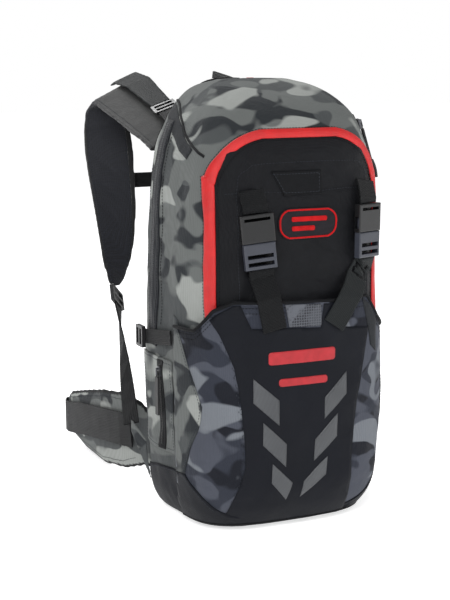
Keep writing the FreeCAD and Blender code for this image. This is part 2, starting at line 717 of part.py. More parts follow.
buckle_top_left = bag_height - 144.0
buckle_low = buckle_top_left - buckle_height
buckle_places = [(-57.0, buckle_low, -0.10), (81.0, buckle_low + 4.0, 0.02)]
hem_strap_x = [-41.0, 33.0]
upper_webs = []
lower_webs = []
for index, (x, z, lean) in enumerate(buckle_places):
    frame = front_frame(x, z + buckle_height / 2.0, lean)
    base_frame = FreeCAD.Placement(frame.multVec(Vector(0, -buckle_height / 2.0, 1.6)), frame.Rotation)
    side = ("left", "right")[index]
    socket = socket_shape()
    socket.Placement = base_frame
    plug = plug_shape()
    plug.Placement = base_frame
    write("front_buckle_socket_" + side, socket)
    write("front_buckle_plug_" + side, plug)
    eye = base_frame.multVec(Vector(0, buckle_height + clearance, buckle_thickness / 2.0))
    up = base_frame.Rotation.multVec(Vector(0, 1, 0))
    across = base_frame.Rotation.multVec(Vector(1, 0, 0))
    seam = eye + up * 26.0
    sewn = place(seam.x, face_depth(seam.z, seam.x) + front_lift + 0.6, seam.z)
    upper_webs.append(ribbon([eye, eye + up * 8.0, sewn], across, front_strap_width - 1.0, webbing_thickness))
    leave = base_frame.multVec(Vector(0, -clearance, buckle_thickness / 2.0))
    route = [leave, base_frame.multVec(Vector(0, -9.0, buckle_thickness * 0.4))]
    widths = [across, across]
    hem_x = hem_strap_x[index]
    for level in (0.12, 0.3, 0.48, 0.64, 0.78, 0.9, 1.0):
        z_here = leave.z + (panel_top - leave.z) * level
        x_here = leave.x + (hem_x - leave.x) * level
        over_pocket = 1.0 - fraction_between(hem_height + 6.0, hem_height + 26.0, z_here)
        lift = front_lift + 1.6 + over_pocket * (front_of_pocket + 1.2 - front_lift)
        route.append(place(x_here, face_depth(z_here, x_here) + lift, z_here))
        ahead = face_depth(z_here, x_here + 4.0) - face_depth(z_here, x_here - 4.0)
        widths.append(Vector(8.0, -ahead, 0))
    lower_webs.append(ribbon(route, widths, front_strap_width - 1.0, webbing_thickness))
write("front_strap_loops", Part.makeCompound(upper_webs))
write("front_webbing_left", lower_webs[0])
write("front_webbing_right", lower_webs[1])

# ---------------------------------------------------------------- sternum strap on its rails
rail_middle = strap_point(8, 0.79, strap_thickness / 2.0 + 3.4)
rail_along = Vector(0, 0.1, 1).normalize()
rail_low = rail_middle - rail_along * (rail_length / 2.0)
rail_high = rail_middle + rail_along * (rail_length / 2.0)
strap_normal = strap_frame(8)[2]
rail = rod(rail_low, rail_high, rail_diameter)
for end in (rail_low, rail_high):
    foot = rod(end - strap_normal * 3.4, end + strap_normal * 0.5, rail_diameter + 2.0)
    rail = rail.fuse(foot)
write("sternum_rails", both(rail.cut(strap)))

slider_middle = rail_middle
slider_base = slider_middle - rail_along * 11.0
slider_body = Part.makeCylinder(rail_diameter / 2 + 3.0, 22.0, slider_base, rail_along)
bore_base = slider_middle - rail_along * 20.0
slider_body = slider_body.cut(Part.makeCylinder(rail_diameter / 2 + 0.4, 40.0, bore_base, rail_along))
for step in range(-4, 5):
    passing = strap.copy()
    passing.translate(rail_along * (sternum_travel * step / 4.0) + strap_normal * 0.6)
    slider_body = slider_body.cut(passing)
strap_keep_out = Part.makeBox(60, 60, 120, Vector(-30, -60, -60))
strap_keep_out.Placement = FreeCAD.Placement(
    slider_middle - strap_normal * 3.0,
    FreeCAD.Rotation(rail_along.cross(strap_normal), strap_normal, rail_along, "XYZ"),
)
slider_body = slider_body.cut(strap_keep_out)
write("sternum_sliders", both(slider_body))
chest_y = slider_middle.y + 1.0
half_buckle = 24.0
web_start = Vector(slider_middle.x + rail_diameter / 2 + 3.0 + clearance, chest_y, slider_middle.z)
web_end = Vector(-half_buckle - clearance, chest_y, slider_middle.z)
chest_left = ribbon([web_start, web_end], rail_along, sternum_width, webbing_thickness)
write("sternum_webbing_left", chest_left)
write("sternum_webbing_right", mirrored(chest_left))
chest_low = slider_middle.z - 12.5
chest_box = Part.makeBox(half_buckle, 8.0, 25.0, Vector(-half_buckle, chest_y - 4.0, chest_low))
socket_hole = Part.makeBox(18.0, 5.0, 19.0, Vector(-17.7, chest_y - 2.5, slider_middle.z - 9.5))
write("sternum_socket", chest_box.makeFillet(1.5, chest_box.Edges).cut(socket_hole))
plug_width = half_buckle - clearance
plug_box = Part.makeBox(plug_width, 8.0, 25.0, Vector(clearance, chest_y - 4.0, chest_low))
plug_box = plug_box.makeFillet(1.5, plug_box.Edges)
for offset in (-6.0, 6.0):
    prong = Part.makeBox(15.0, 3.8, 5.0, Vector(-13.0, chest_y - 1.9, slider_middle.z + offset - 2.5))
    plug_box = plug_box.fuse(prong)
write("sternum_plug", plug_box)

# ---------------------------------------------------------------- haul loop, red tab, top band
loop_z = bag_height - 16.0
loop_half = 46.0
loop_points = []
for step in range(13):
    angle = math.pi * step / 12.0
    reach = 8.0 + 26.0 * math.sin(angle)
    rise = 17.0 * math.sin(angle) - 10.0
    loop_points.append(place(-loop_half * math.cos(angle), 12.0 - reach, loop_z + rise))
haul_loop = ribbon(loop_points, Vector(0, 1.0, 1.6), 18.0, 3.0)
write("haul_loop", haul_loop.cut(bag_body(clearance)))
tab = box(-4.5, 4.5, 44.0, 46.0, bag_height + 0.2, bag_height + 7.0)
write("red_tab", tab)

# ---------------------------------------------------------------- zip sliders with their pulls
main_slider_top = bag_height - 54.0
main_slider_run = 26.0
pull_pin_height = slider_thickness * 0.55 + 1.1


def zip_slider(middle, right, up):
    """A slider: two plates joined at the nose, and a bridge that holds the pull."""
    frame = FreeCAD.Placement(middle, FreeCAD.Rotation(right, up, right.cross(up), "XYZ"))
    body = Part.makeBox(slider_width, 12.0, slider_thickness * 0.55, Vector(-slider_width / 2, -6.0, 0))
    body = body.makeFillet(1.0, [edge for edge in body.Edges if abs(edge.tangentAt(0).z) > 0.9])
    bridge = Part.makeBox(2.4, 9.0, 3.2, Vector(-1.2, -4.5, slider_thickness * 0.55 - 0.2))
    eye = Part.makeBox(6.0, 4.0, 2.1, Vector(-3.0, -1.8, slider_thickness * 0.55 - 0.1))
    body = body.fuse(bridge).cut(eye)
    body.Placement = frame
    return body, frame


def zip_pull(frame, length, width):
    """A pull tab that hangs from the slider's bridge by a pin through it."""
    pin = Part.makeCylinder(0.6, 5.2, Vector(-2.6, 0.2, pull_pin_height), Vector(1, 0, 0))
    low = pull_pin_height - 0.6
    arms = []
    for side in (-1, 1):
        arms.append(Part.makeBox(1.2, 7.6, 1.2, Vector(side * 2.6 - 0.6, -7.0, low)))
    tab = Part.makeBox(width, length, 2.0, Vector(-width / 2, -6.5 - length, low))
    tab = tab.makeFillet(0.9, [edge for edge in tab.Edges if abs(edge.tangentAt(0).z) > 0.9])
    pull = tab.fuse(arms[0]).fuse(arms[1]).fuse(pin)
    pull.Placement = frame
    return pull


def on_main_zip(z):
    return place(side_x(z, main_zip_depth), main_zip_depth, z)


main_up = (on_main_zip(main_slider_top) - on_main_zip(main_slider_top - main_slider_run)).normalize()
middle_z = main_slider_top - 10.0
ahead_depth = main_zip_depth + 4.0
main_right = on_main_zip(middle_z) - place(side_x(middle_z, ahead_depth), ahead_depth, middle_z)
main_right = (main_right - main_up * main_right.dot(main_up)).normalize()
main_out = main_right.cross(main_up)
main_middle = on_main_zip(main_slider_top) + main_out * 2.0
main_slider, main_slider_frame = zip_slider(main_middle, main_right, main_up)
write("main_zip_slider", main_slider)
write("main_zip_pull", zip_pull(main_slider_frame, 42.0, 7.0))

side_right = Vector(0, -1, 0)
side_lift = tape_lift + tape_thickness + 2 * clearance
side_middle = place(-side_x(180, pocket_zip_depth) - side_lift, pocket_zip_depth, 180.0)
side_slider, side_slider_frame = zip_slider(side_middle, side_right, Vector(0, 0, 1))
write("side_zip_slider", side_slider)
write("side_zip_pull", zip_pull(side_slider_frame, 46.0, 9.0))

# ---------------------------------------------------------------- airbag system inside the bag
module_top = bag_height - 56.0
airbag = rounded_box(-72, 72, 22, 122, module_top - 78.0, module_top, 14.0)
write("airbag_module", airbag.common(bag_body(-wall - clearance)))
cylinder_x = bag_half_width - 65.0
cylinder_depth = bag_depth * 0.37
cylinder_base = wall
shoulder = cylinder_diameter * 0.3
body_height = cylinder_height - shoulder


def on_axis(height):
    """A place on the gas cylinder's axis, that far above the bag's inner floor."""
    return place(cylinder_x, cylinder_depth, cylinder_base + height)


cylinder = Part.makeCylinder(cylinder_diameter / 2, body_height, on_axis(16.0))
dome = Part.makeCone(cylinder_diameter / 2, 13.0, shoulder, on_axis(16.0 + body_height))
write("gas_cylinder", cylinder.fuse(dome))
cradle = Part.makeCylinder(cylinder_diameter / 2 + 2.5, 28.0, on_axis(2 * clearance))
cup = Part.makeCylinder(cylinder_diameter / 2 + clearance, 40.0, on_axis(16.0 - clearance))
write("cylinder_cradle", cradle.cut(cup))
valve_low = cylinder_base + 16 + cylinder_height
left_x = cylinder_x - 19.0
near_depth = cylinder_depth - 19.0
valve = rounded_box(left_x, left_x + 38, near_depth, near_depth + 38, valve_low + 0.2, valve_low + 44, 4.0)
plunger_low = place(cylinder_x, cylinder_depth, valve_low + 20)
valve = valve.cut(Part.makeCylinder(plunger_diameter / 2 + 0.1, 60, plunger_low))
plunger = Part.makeCylinder(plunger_diameter / 2, 30.0, plunger_low + Vector(0, 0, 0.4))
plunger = plunger.fuse(Part.makeCylinder(wire_diameter / 2, 16.0, plunger_low + Vector(0, 0, 30.0)))
write("valve_plunger", plunger)


def tube(points, diameter):
    """A round tube along straight runs joined by tangent arcs, each as large as its runs allow."""
    edges = []
    start = points[0]
    for i in range(1, len(points) - 1):
        back = points[i - 1] - points[i]
        ahead = points[i + 1] - points[i]
        half_turn = (math.pi - back.getAngle(ahead)) / 2.0
        trim = 0.45 * min(back.Length, ahead.Length)
        bend_in = points[i] + back.normalize() * trim
        bend_out = points[i] + ahead.normalize() * trim
        radius = trim / math.tan(half_turn)
        inward = (back + ahead).normalize()
        centre_gap = math.hypot(radius, trim)
        crown = points[i] + inward * (centre_gap - radius)
        edges.append(Part.LineSegment(start, bend_in).toShape())
        edges.append(Part.Arc(bend_in, crown, bend_out).toShape())
        start = bend_out
    edges.append(Part.LineSegment(start, points[-1]).toShape())
    path = Part.Wire(edges)
    end = Part.Circle(points[0], points[1] - points[0], diameter / 2.0)
    body = path.makePipeShell([Part.Wire([end.toShape()])], True, True, 2)
    return body if body.Volume > 0 else body.reversed()


hose_port = place(cylinder_x - 19.3, cylinder_depth, valve_low + 24)
hose_points = [
    hose_port,
    place(cylinder_x - 54.0, cylinder_depth, valve_low + 25),
    place(cylinder_x - 68.0, cylinder_depth, valve_low + 60),
    place(cylinder_x - 69.0, cylinder_depth, module_top - 78.0 - clearance),
]
write("gas_hose", tube(hose_points, 10.0))
stop_low = valve_low + 53.0 + plunger_travel
stop_high = stop_low + 18.0
stop_x = cylinder_x - 4.0
cable_stop = Part.makeCylinder(4.0, 18.0, place(cylinder_x, cylinder_depth, stop_low))
arm = box(stop_x, stop_x + 8, cylinder_depth, cylinder_depth + 17, stop_low + 8, stop_low + 14)
post = box(stop_x, stop_x + 8, cylinder_depth + 13, cylinder_depth + 17, valve_low + 42.0, stop_low + 14)
cable_stop = cable_stop.fuse(arm).fuse(post)
wire_base = place(cylinder_x, cylinder_depth, valve_low + 46)
wire_bore = Part.makeCylinder(wire_diameter / 2 + 0.4, 60.0, wire_base)
write("valve_unit", valve.fuse(cable_stop.cut(wire_bore)))

# The trigger handle hangs in a sleeve on the right strap; its wire runs in a sheathed cable over
# the shoulder and through the back of the bag to the valve.


def on_right(point):
    return Vector(-point.x, point.y, point.z)


handle_share = 0.40
upper = strap_point(8, handle_share, 0.0)
lower = strap_point(10, handle_share, 0.0)
pull_up = on_right(upper - lower).normalize()
pull_normal = on_right(strap_frame(9)[2])
pull_normal = (pull_normal - pull_up * pull_normal.dot(pull_up)).normalize()
pull_across = pull_up.cross(pull_normal)
handle_lift = strap_thickness / 2 + 9.5 + handle_thickness / 2
handle_middle = on_right(strap_point(9, handle_share, 0.0)) + pull_normal * handle_lift
pull_frame = FreeCAD.Placement(handle_middle, FreeCAD.Rotation(pull_across, pull_up, pull_normal, "XYZ"))
half_handle = handle_length / 2.0


def along_pull(shape):
    shape.Placement = pull_frame
    return shape


def pull_rod(low, high, diameter):
    return Part.makeCylinder(diameter / 2.0, high - low, Vector(0, low, 0), Vector(0, 1, 0))


grip = Part.makeBox(handle_width, handle_length, handle_thickness)
grip.translate(Vector(-handle_width / 2, -half_handle, -handle_thickness / 2))
grip = grip.makeFillet(4.0, grip.Edges)
grip = grip.cut(Part.makeCylinder(4.0, 60.0, Vector(0, -half_handle + 11.0, -30)))
grip = grip.fuse(pull_rod(half_handle - 1.0, half_handle + 10.0, 8.0))
grip = grip.fuse(pull_rod(half_handle + 9.0, half_handle + 13.0 + handle_travel, wire_diameter))
write("trigger_handle", along_pull(grip))
sleeve = Part.makeBox(26.0, 40.0, handle_lift + 4.0, Vector(-13.0, half_handle + 1.0, -handle_lift + 1.0))
sleeve = sleeve.makeFillet(3.0, [edge for edge in sleeve.Edges if abs(edge.tangentAt(0).y) > 0.9])
sleeve = sleeve.cut(pull_rod(half_handle, half_handle + 13.0, 8.0 + 2 * clearance))
ferrule_high = half_handle + 13.5 + handle_travel + 6.0
sleeve = sleeve.fuse(pull_rod(half_handle + 35.0, ferrule_high, 9.0))
sleeve = sleeve.cut(pull_rod(half_handle, ferrule_high - 2.0, wire_diameter + 0.8))
write("trigger_sleeve", along_pull(sleeve).cut(mirrored(strap)))

cable_start = pull_frame.multVec(Vector(0, ferrule_high + 0.1, 0))
cable_points = [cable_start, cable_start + pull_up * 16.0]
over_shoulder = [(5, 0.40, 10.0), (4, 0.30, 7.5), (3, 0.24, 4.5), (2, 0.24, 4.0), (1, 0.26, 4.0)]
for station, share, lift in over_shoulder:
    cable_points.append(on_right(strap_point(station, share, strap_thickness / 2.0 + lift)))
cable_points += [
    cable_port + Vector(0, 12.0, 3.0),
    place(97.0, 34.0, cable_port.z - 5.0),
    place(92.0, 58.0, cable_port.z - 36.0),
    place(cylinder_x + 2.0, cylinder_depth, cable_port.z - 78.0),
    place(cylinder_x, cylinder_depth, stop_high + 0.1),
]
write("trigger_cable", tube(cable_points, cable_diameter))
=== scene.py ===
import math

import bpy
import numpy as np
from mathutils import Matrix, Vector, noise
from mathutils.bvhtree import BVHTree
from mathutils.geometry import delaunay_2d_cdt


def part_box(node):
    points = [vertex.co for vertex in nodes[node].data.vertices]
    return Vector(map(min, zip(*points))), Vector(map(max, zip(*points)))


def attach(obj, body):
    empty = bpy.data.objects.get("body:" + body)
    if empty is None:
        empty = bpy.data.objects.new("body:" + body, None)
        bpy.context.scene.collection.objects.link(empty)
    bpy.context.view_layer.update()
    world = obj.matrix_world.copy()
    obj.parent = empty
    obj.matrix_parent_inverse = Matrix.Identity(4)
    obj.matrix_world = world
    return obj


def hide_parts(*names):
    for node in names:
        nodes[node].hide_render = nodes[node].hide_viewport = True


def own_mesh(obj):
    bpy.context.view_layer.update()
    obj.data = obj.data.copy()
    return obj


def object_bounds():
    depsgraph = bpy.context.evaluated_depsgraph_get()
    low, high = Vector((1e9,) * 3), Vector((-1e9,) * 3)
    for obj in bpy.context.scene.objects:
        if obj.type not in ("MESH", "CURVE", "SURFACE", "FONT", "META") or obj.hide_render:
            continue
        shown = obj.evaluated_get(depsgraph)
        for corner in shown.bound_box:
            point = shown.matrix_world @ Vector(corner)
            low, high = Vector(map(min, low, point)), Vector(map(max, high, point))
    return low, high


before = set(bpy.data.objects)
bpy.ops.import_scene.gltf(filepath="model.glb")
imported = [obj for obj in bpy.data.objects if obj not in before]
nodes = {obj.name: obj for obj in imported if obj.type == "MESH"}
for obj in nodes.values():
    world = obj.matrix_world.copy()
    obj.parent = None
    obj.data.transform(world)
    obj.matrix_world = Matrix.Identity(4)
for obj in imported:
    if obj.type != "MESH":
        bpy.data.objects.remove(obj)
cad_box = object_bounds()

# ---------------------------------------------------------------- stage, lights and camera
# The camera sees a pale floor and a pure white surround, while a dimmer white lights the pack. A
# large key lamp stands at the front left, a fill at the right and one behind for the top edges.


def dye(red, green, blue):
    """A colour from 0 to 255, as a swatch shows it, turned into the light that it gives back."""
    return tuple(((c / 255 + 0.055) / 1.055) ** 2.4 for c in (red, green, blue)) + (1.0,)


class Finish:
    """One material, wired node by node. Its surface pattern is laid out in metres on the piece."""

    def __init__(self, name, **sockets):
        self.material = bpy.data.materials.new(name)
        self.material.use_nodes = True
        self.tree = self.material.node_tree
        self.shader = self.tree.nodes["Principled BSDF"]
        for socket, value in sockets.items():
            self.shader.inputs[socket.replace("_", " ")].default_value = value
        self.place = self.add("TexCoord")[0].outputs["Object"]
        self.normal = None

    def add(self, kind, out=0, into=(), **settings):
        """A new node with its settings, its inputs filled in order by numbers or by other sockets."""
        node = self.tree.nodes.new("ShaderNode" + kind)
        for key, value in settings.items():
            setattr(node, key, value)
        for key, value in dict(into).items():
            if isinstance(value, bpy.types.NodeSocket):
                self.tree.links.new(value, node.inputs[key])
            else:
                node.inputs[key].default_value = value
        return node, node.outputs[out]

    def cloudy(self, scale, detail=2.0, distortion=0.0, stretch=(1, 1, 1), shift=(0, 0, 0)):
        moved = self.add("Mapping", into={"Vector": self.place, "Scale": stretch, "Location": shift})[1]
        sizes = {"Vector": moved, "Scale": scale, "Detail": detail, "Distortion": distortion}
        return self.add("TexNoise", into=sizes)[1]

    def sum(self, operation, first, second):
        return self.add("Math", into={0: first, 1: second}, operation=operation)[1]

    def threads(self, pitch, turn=0.0):
        """Rows of threads at a pitch along all three axes, so that any face shows a plain weave."""
        turned = self.add("Mapping", into={"Vector": self.place, "Rotation": (turn, turn, turn)})[1]
        many = self.add("VectorMath", into={0: turned, 1: (2 * math.pi / pitch,) * 3}, operation="MULTIPLY")[1]
        rows = self.add("VectorMath", into={0: many}, operation="SINE")[1]
        return self.add("VectorMath", out=1, into={0: rows, 1: (0.33, 0.33, 0.33)}, operation="DOT_PRODUCT")[1]

    def stops(self, factor, colours, hard=False):
        node, colour = self.add("ValToRGB", into={"Fac": factor})
        node.color_ramp.interpolation = "CONSTANT" if hard else "LINEAR"
        while len(node.color_ramp.elements) < len(colours):
            node.color_ramp.elements.new(1.0)
        for element, (place, value) in zip(node.color_ramp.elements, colours):
            element.position = place
            element.color = value
        return colour

    def over(self, factor, below, above):
        sockets = {0: factor, 6: below, 7: above}
        return self.add("Mix", out=2, into=sockets, data_type="RGBA")[1]

    def tinted(self, colour, factor, amount):
        """The colour made up to that share lighter and darker by a pattern round zero."""
        shade = self.sum("MULTIPLY_ADD", factor, amount)
        shade.node.inputs[2].default_value = 1.0
        return self.add("VectorMath", into={0: colour, 3: shade}, operation="SCALE")[1]

    def raised(self, height, metres):
        """A relief of that height over the last one."""
        sockets = {"Height": height, "Distance": metres, "Strength": 1.0}
        if self.normal:
            sockets["Normal"] = self.normal
        self.normal = self.add("Bump", into=sockets)[1]
        self.tree.links.new(self.normal, self.shader.inputs["Normal"])

    def coloured(self, colour):
        self.tree.links.new(colour, self.shader.inputs["Base Color"])

    def rough(self, factor, low, high):
        spread = {"Value": factor, "To Min": low, "To Max": high}
        self.tree.links.new(self.add("MapRange", into=spread)[1], self.shader.inputs["Roughness"])


white = (1.0, 1.0, 1.0, 1.0)
black = (0.0, 0.0, 0.0, 1.0)
pale = Finish("studio_floor", Roughness=0.9, Specular_IOR_Level=0.1, Emission_Color=white,
              Emission_Strength=0.62)
pale.coloured(pale.stops(pale.cloudy(1.5), [(0.3, dye(244, 244, 245)), (0.8, dye(250, 250, 250))]))
floor_z = cad_box[0][2] - 0.0005
floor_mesh = bpy.data.meshes.new("floor")
floor_corners = [(x, y, floor_z) for x, y in ((-9, -9), (9, -9), (9, 9), (-9, 9))]
floor_mesh.from_pydata(floor_corners, [], [(0, 1, 2, 3)])
floor_mesh.materials.append(pale.material)
floor = bpy.data.objects.new("floor", floor_mesh)
bpy.context.scene.collection.objects.link(floor)

world = bpy.data.worlds.new("studio")
world.use_nodes = True
air = world.node_tree
seen = air.nodes.new("ShaderNodeBackground")
seen.inputs["Color"].default_value = white
seen.inputs["Strength"].default_value = 1.0
air.nodes["Background"].inputs["Color"].default_value = white
air.nodes["Background"].inputs["Strength"].default_value = 0.45
either = air.nodes.new("ShaderNodeMixShader")
air.links.new(air.nodes.new("ShaderNodeLightPath").outputs["Is Camera Ray"], either.inputs[0])
air.links.new(air.nodes["Background"].outputs[0], either.inputs[1])
air.links.new(seen.outputs[0], either.inputs[2])
air.links.new(either.outputs[0], air.nodes["World Output"].inputs["Surface"])
bpy.context.scene.world = world
bpy.context.scene.view_settings.view_transform = "Standard"


def lamp(name, place, size, power):
    light = bpy.data.lights.new(name, "AREA")
    light.shape = "DISK"
    light.size = size
    light.energy = power
    holder = bpy.data.objects.new(name, light)
    holder.location = place
    holder.rotation_euler = (Vector((0, 0, 0.26)) - Vector(place)).to_track_quat("-Z", "Y").to_euler()
    bpy.context.scene.collection.objects.link(holder)


lamp("key", (-1.3, -2.0, 1.9), 1.3, 46.0)
lamp("fill", (1.9, -1.6, 0.9), 1.6, 16.0)
lamp("rim", (-0.4, 1.6, 2.0), 1.0, 34.0)

camera_data = bpy.data.cameras.new("camera")
camera_data.lens = 86.4
camera_data.sensor_width = 36.0
camera_data.shift_x = -0.068
camera_data.shift_y = 0.003
camera = bpy.data.objects.new("camera", camera_data)
camera.location = (-0.7189, -1.5477, 0.5703)
aim = Vector((0.0, -0.006, 0.255)) - camera.location
camera.rotation_euler = aim.to_track_quat("-Z", "Y").to_euler()
bpy.context.scene.collection.objects.link(camera)
bpy.context.scene.camera = camera

# ---------------------------------------------------------------- bag body
# The body is a tall sewn shell of printed nylon over thin foam, flat at the back, rounded in front
# and pulled in over a domed top. Its fabric is a polyester plain weave with a grey camouflage print.

print_greys = (dye(38, 41, 44), dye(66, 69, 70), dye(92, 95, 94), dye(138, 141, 138))


def camouflage(name, greys, blot=15.0, shift=0.0, pitch=0.0011, thread=0.00012):
    """Printed camouflage: soft-edged blots of four greys, the light ones on top of the dark ones."""
    cloth = Finish(name, Roughness=0.82, Specular_IOR_Level=0.15, Sheen_Weight=0.04, Sheen_Roughness=0.5)
    far = [(11.3 + shift, 4.1, 7.7), (2.9, 8.3 + shift, 1.1), (5.7, 0.9, 3.3 + shift)]
    ground = cloth.cloudy(blot, 1.2, 0.5, (1, 1, 1.45), far[0])
    ground = cloth.stops(ground, [(0.465, greys[0]), (0.5, greys[1])])
    middle = cloth.stops(cloth.cloudy(blot, 1.4, 0.6, (1, 1, 1.6), far[1]), [(0.52, black), (0.55, white)])
    light = cloth.cloudy(blot * 0.9, 1.3, 0.7, (1, 1, 1.7), far[2])
    light = cloth.stops(light, [(0.565, black), (0.6, white)])
    colour = cloth.over(light, cloth.over(middle, ground, greys[2]), greys[3])
    weave = cloth.threads(pitch)
    colour = cloth.tinted(colour, weave, 0.16)
    cloth.coloured(cloth.tinted(colour, cloth.sum("SUBTRACT", cloth.cloudy(9.0, 3.0), 0.5), 0.35))
    cloth.raised(cloth.cloudy(38.0, 4.0, 0.8), 0.0022)
    cloth.raised(weave, thread)
    cloth.rough(cloth.cloudy(14.0), 0.72, 0.9)
    return cloth.material


camo = camouflage("camo_cloth", print_greys)
back_plane = 0.084
rows = np.array([
    (0, 112, 92, 152, 16), (10, 121, 103, 168, 6), (35, 129, 114, 182, 0), (90, 134, 119, 188, 0),
    (180, 135, 120, 190, 0), (300, 132, 118, 189, 0), (400, 125, 114, 187, 0), (440, 117, 109, 184, 0),
    (462, 108, 104, 178, 0), (480, 99, 98, 166, 1), (494, 88, 89, 148, 5), (506, 76, 77, 124, 12),
    (514, 64, 64, 102, 22), (520, 42, 42, 76, 36),
], float)


def row_curve(column):
    """One of the body's sizes as a smooth function of height that never overshoots its rows."""
    knots = rows[:, 0]
    steps = np.diff(knots)
    rises = np.diff(rows[:, column]) / steps
    slopes = np.zeros(len(knots))
    slopes[0] = rises[0]
    slopes[-1] = rises[-1]
    for i in range(1, len(steps)):
        if rises[i - 1] * rises[i] > 0:
            first = 2 * steps[i] + steps[i - 1]
            second = steps[i] + 2 * steps[i - 1]
            slopes[i] = (first + second) / (first / rises[i - 1] + second / rises[i])

    def at(height):
        height = np.clip(height, knots[0], knots[-1])
        i = np.clip(np.searchsorted(knots, height) - 1, 0, len(steps) - 1)
        t = (height - knots[i]) / steps[i]
        near = (1 + 2 * t) * (1 - t) ** 2 * rows[i, column] + t * (1 - t) ** 2 * steps[i] * slopes[i]
        return near + t * t * (3 - 2 * t) * rows[i + 1, column] + t * t * (t - 1) * steps[i] * slopes[i + 1]

    return at


half_back, half_front, front_face, back_face = [row_curve(column) for column in (1, 2, 3, 4)]


def eased(low, high, value):
    share = np.clip((value - low) / (high - low), 0.0, 1.0)
    return share * share * (3 - 2 * share)


def body_points(angle, height, side=0.0, front=0.0):
    """Places round the bag in metres: angle 0 is its right side, a quarter turn on its back."""
    cosine = np.cos(angle)
    sine = np.sin(angle)
    power = np.where(sine >= 0, 6.5, 3.4)
    reach = (np.abs(cosine) ** power + np.abs(sine) ** power) ** (-1 / power)
    across = cosine * reach
    along = sine * reach
    wide = half_back(height)
    half = wide + (half_front(height) - wide) * (1 - along) / 2 + side
    low = back_face(height)
    high = front_face(height) + front
    depth = (high + low) / 2 - along * (high - low) / 2
    return np.stack([across * half / 1000, back_plane - depth / 1000, height / 1000 + 0 * depth], -1)


def piece(name, points, faces, material, smooth=True):
    """A new object from points in metres and faces."""
    mesh = bpy.data.meshes.new(name)
    mesh.from_pydata([tuple(p) for p in points], [], [tuple(int(i) for i in f) for f in faces])
    mesh.update()
    mesh.polygons.foreach_set("use_smooth", [smooth] * len(mesh.polygons))
    mesh.materials.append(material)
    made = bpy.data.objects.new(name, mesh)
    bpy.context.scene.collection.objects.link(made)
    return made


def lattice(count_v, count_u, loop):
    """Faces of a lattice of points, row by row, closed into a loop or not."""
    faces = []
    for v in range(count_v - 1):
        for u in range(count_u if loop else count_u - 1):
            w = (u + 1) % count_u
            faces.append((v * count_u + u, v * count_u + w, (v + 1) * count_u + w, (v + 1) * count_u + u))
    return faces


def outward(points, faces):
    """Unit normals of points from the faces round them."""
    normals = np.zeros_like(points)
    for face in faces:
        p = points[list(face)]
        facing = np.cross(p[2] - p[0], p[3] - p[1]) if len(face) == 4 else np.cross(p[1] - p[0], p[2] - p[0])
        normals[list(face)] += facing
    return normals / np.maximum(np.linalg.norm(normals, axis=1, keepdims=True), 1e-12)


def crumple(points, size, height, shift=0.0):
    """Soft creases in metres at each point, from layered noise."""
    aside = Vector((shift, 0, 0))
    return np.array([noise.fractal(Vector(p) * size + aside, 0.9, 2.1, 3) * height for p in points])


around = 240   # points in each level ring of the shell
levels = [np.linspace(0, 40, 14)[:-1], np.linspace(40, 440, 104)[:-1], np.linspace(440, 520, 40)]
levels = np.concatenate(levels)
angles = np.linspace(0, 2 * math.pi, around, endpoint=False)
shell = body_points(angles[None, :], levels[:, None])
shell_faces = lattice(len(levels), len(angles), True)
flat = shell.reshape(-1, 3)
normal = outward(flat, shell_faces)
sideways = eased(0.45, 0.8, np.abs(normal[:, 0])) * (1 - eased(0.42, 0.5, flat[:, 2]))
folds = crumple(flat * (1, 1, 0.6), 22.0, 0.0022) * (0.45 + 0.9 * sideways)
settle = eased(0.0, 0.03, flat[:, 2]) * (1 - 0.7 * eased(0.4, 0.8, normal[:, 1]))
flat = flat + normal * ((folds - 0.0012) * settle)[:, None]
base = len(flat)
rings = []
for share in (0.75, 0.5, 0.25):
    rings.append(flat[:around] * (share, share, 0))
top_ring = flat[base - around:]
crown = top_ring.mean(0)
for share in (0.75, 0.5, 0.25):
    rings.append(crown + (top_ring - crown) * (share, share, 1) + (0, 0, 0.0012 * (1 - share)))
points = np.concatenate([flat] + rings + [[(0, 0, 0)], [crown + (0, 0, 0.0014)]])
faces = list(shell_faces)
for first, start, sign in ((0, base, -1), (base - around, base + 3 * around, 1)):
    ring = [first] + [start + around * i for i in range(3)]
    for near, far in zip(ring, ring[1:]):
        for u in range(around):
            quad = (near + u, near + (u + 1) % around, far + (u + 1) % around, far + u)
            faces.append(quad if sign > 0 else quad[::-1])
    tip = len(points) - 2 + (sign > 0)
    for u in range(around):
        corner = (ring[-1] + u, ring[-1] + (u + 1) % around, tip)
        faces.append(corner if sign > 0 else corner[::-1])
bag = piece("bag_body", points, faces, camo)
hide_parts("bag_shell")
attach(bag, "pack")

# ---------------------------------------------------------------- piping and painted seam shade
# Black piping is sewn into the seam between the top panel and each side. A narrow strip of dark
# charcoal cloth along the side just below it is painted shade under that seam.


def woven(name, colour, pitch=0.0009, thread=0.00012, crease=0.0012, sheen=0.03, low=0.6, high=0.8, spread=0.3):
    """Plain woven nylon of one colour, with its threads, faint creases and uneven wear."""
    cloth = Finish(name, Specular_IOR_Level=0.14, Sheen_Weight=sheen, Sheen_Roughness=0.4)
    weave = cloth.threads(pitch)
    shade = cloth.tinted(cloth.stops(weave, [(0.0, colour), (1.0, colour)]), weave, 0.25)
    cloth.coloured(cloth.tinted(shade, cloth.sum("SUBTRACT", cloth.cloudy(16.0, 4.0), 0.5), spread))
    cloth.raised(cloth.cloudy(55.0, 4.0, 0.6), crease)
    cloth.raised(weave, thread)
    cloth.rough(cloth.cloudy(30.0, 3.0), low, high)
    return cloth.material


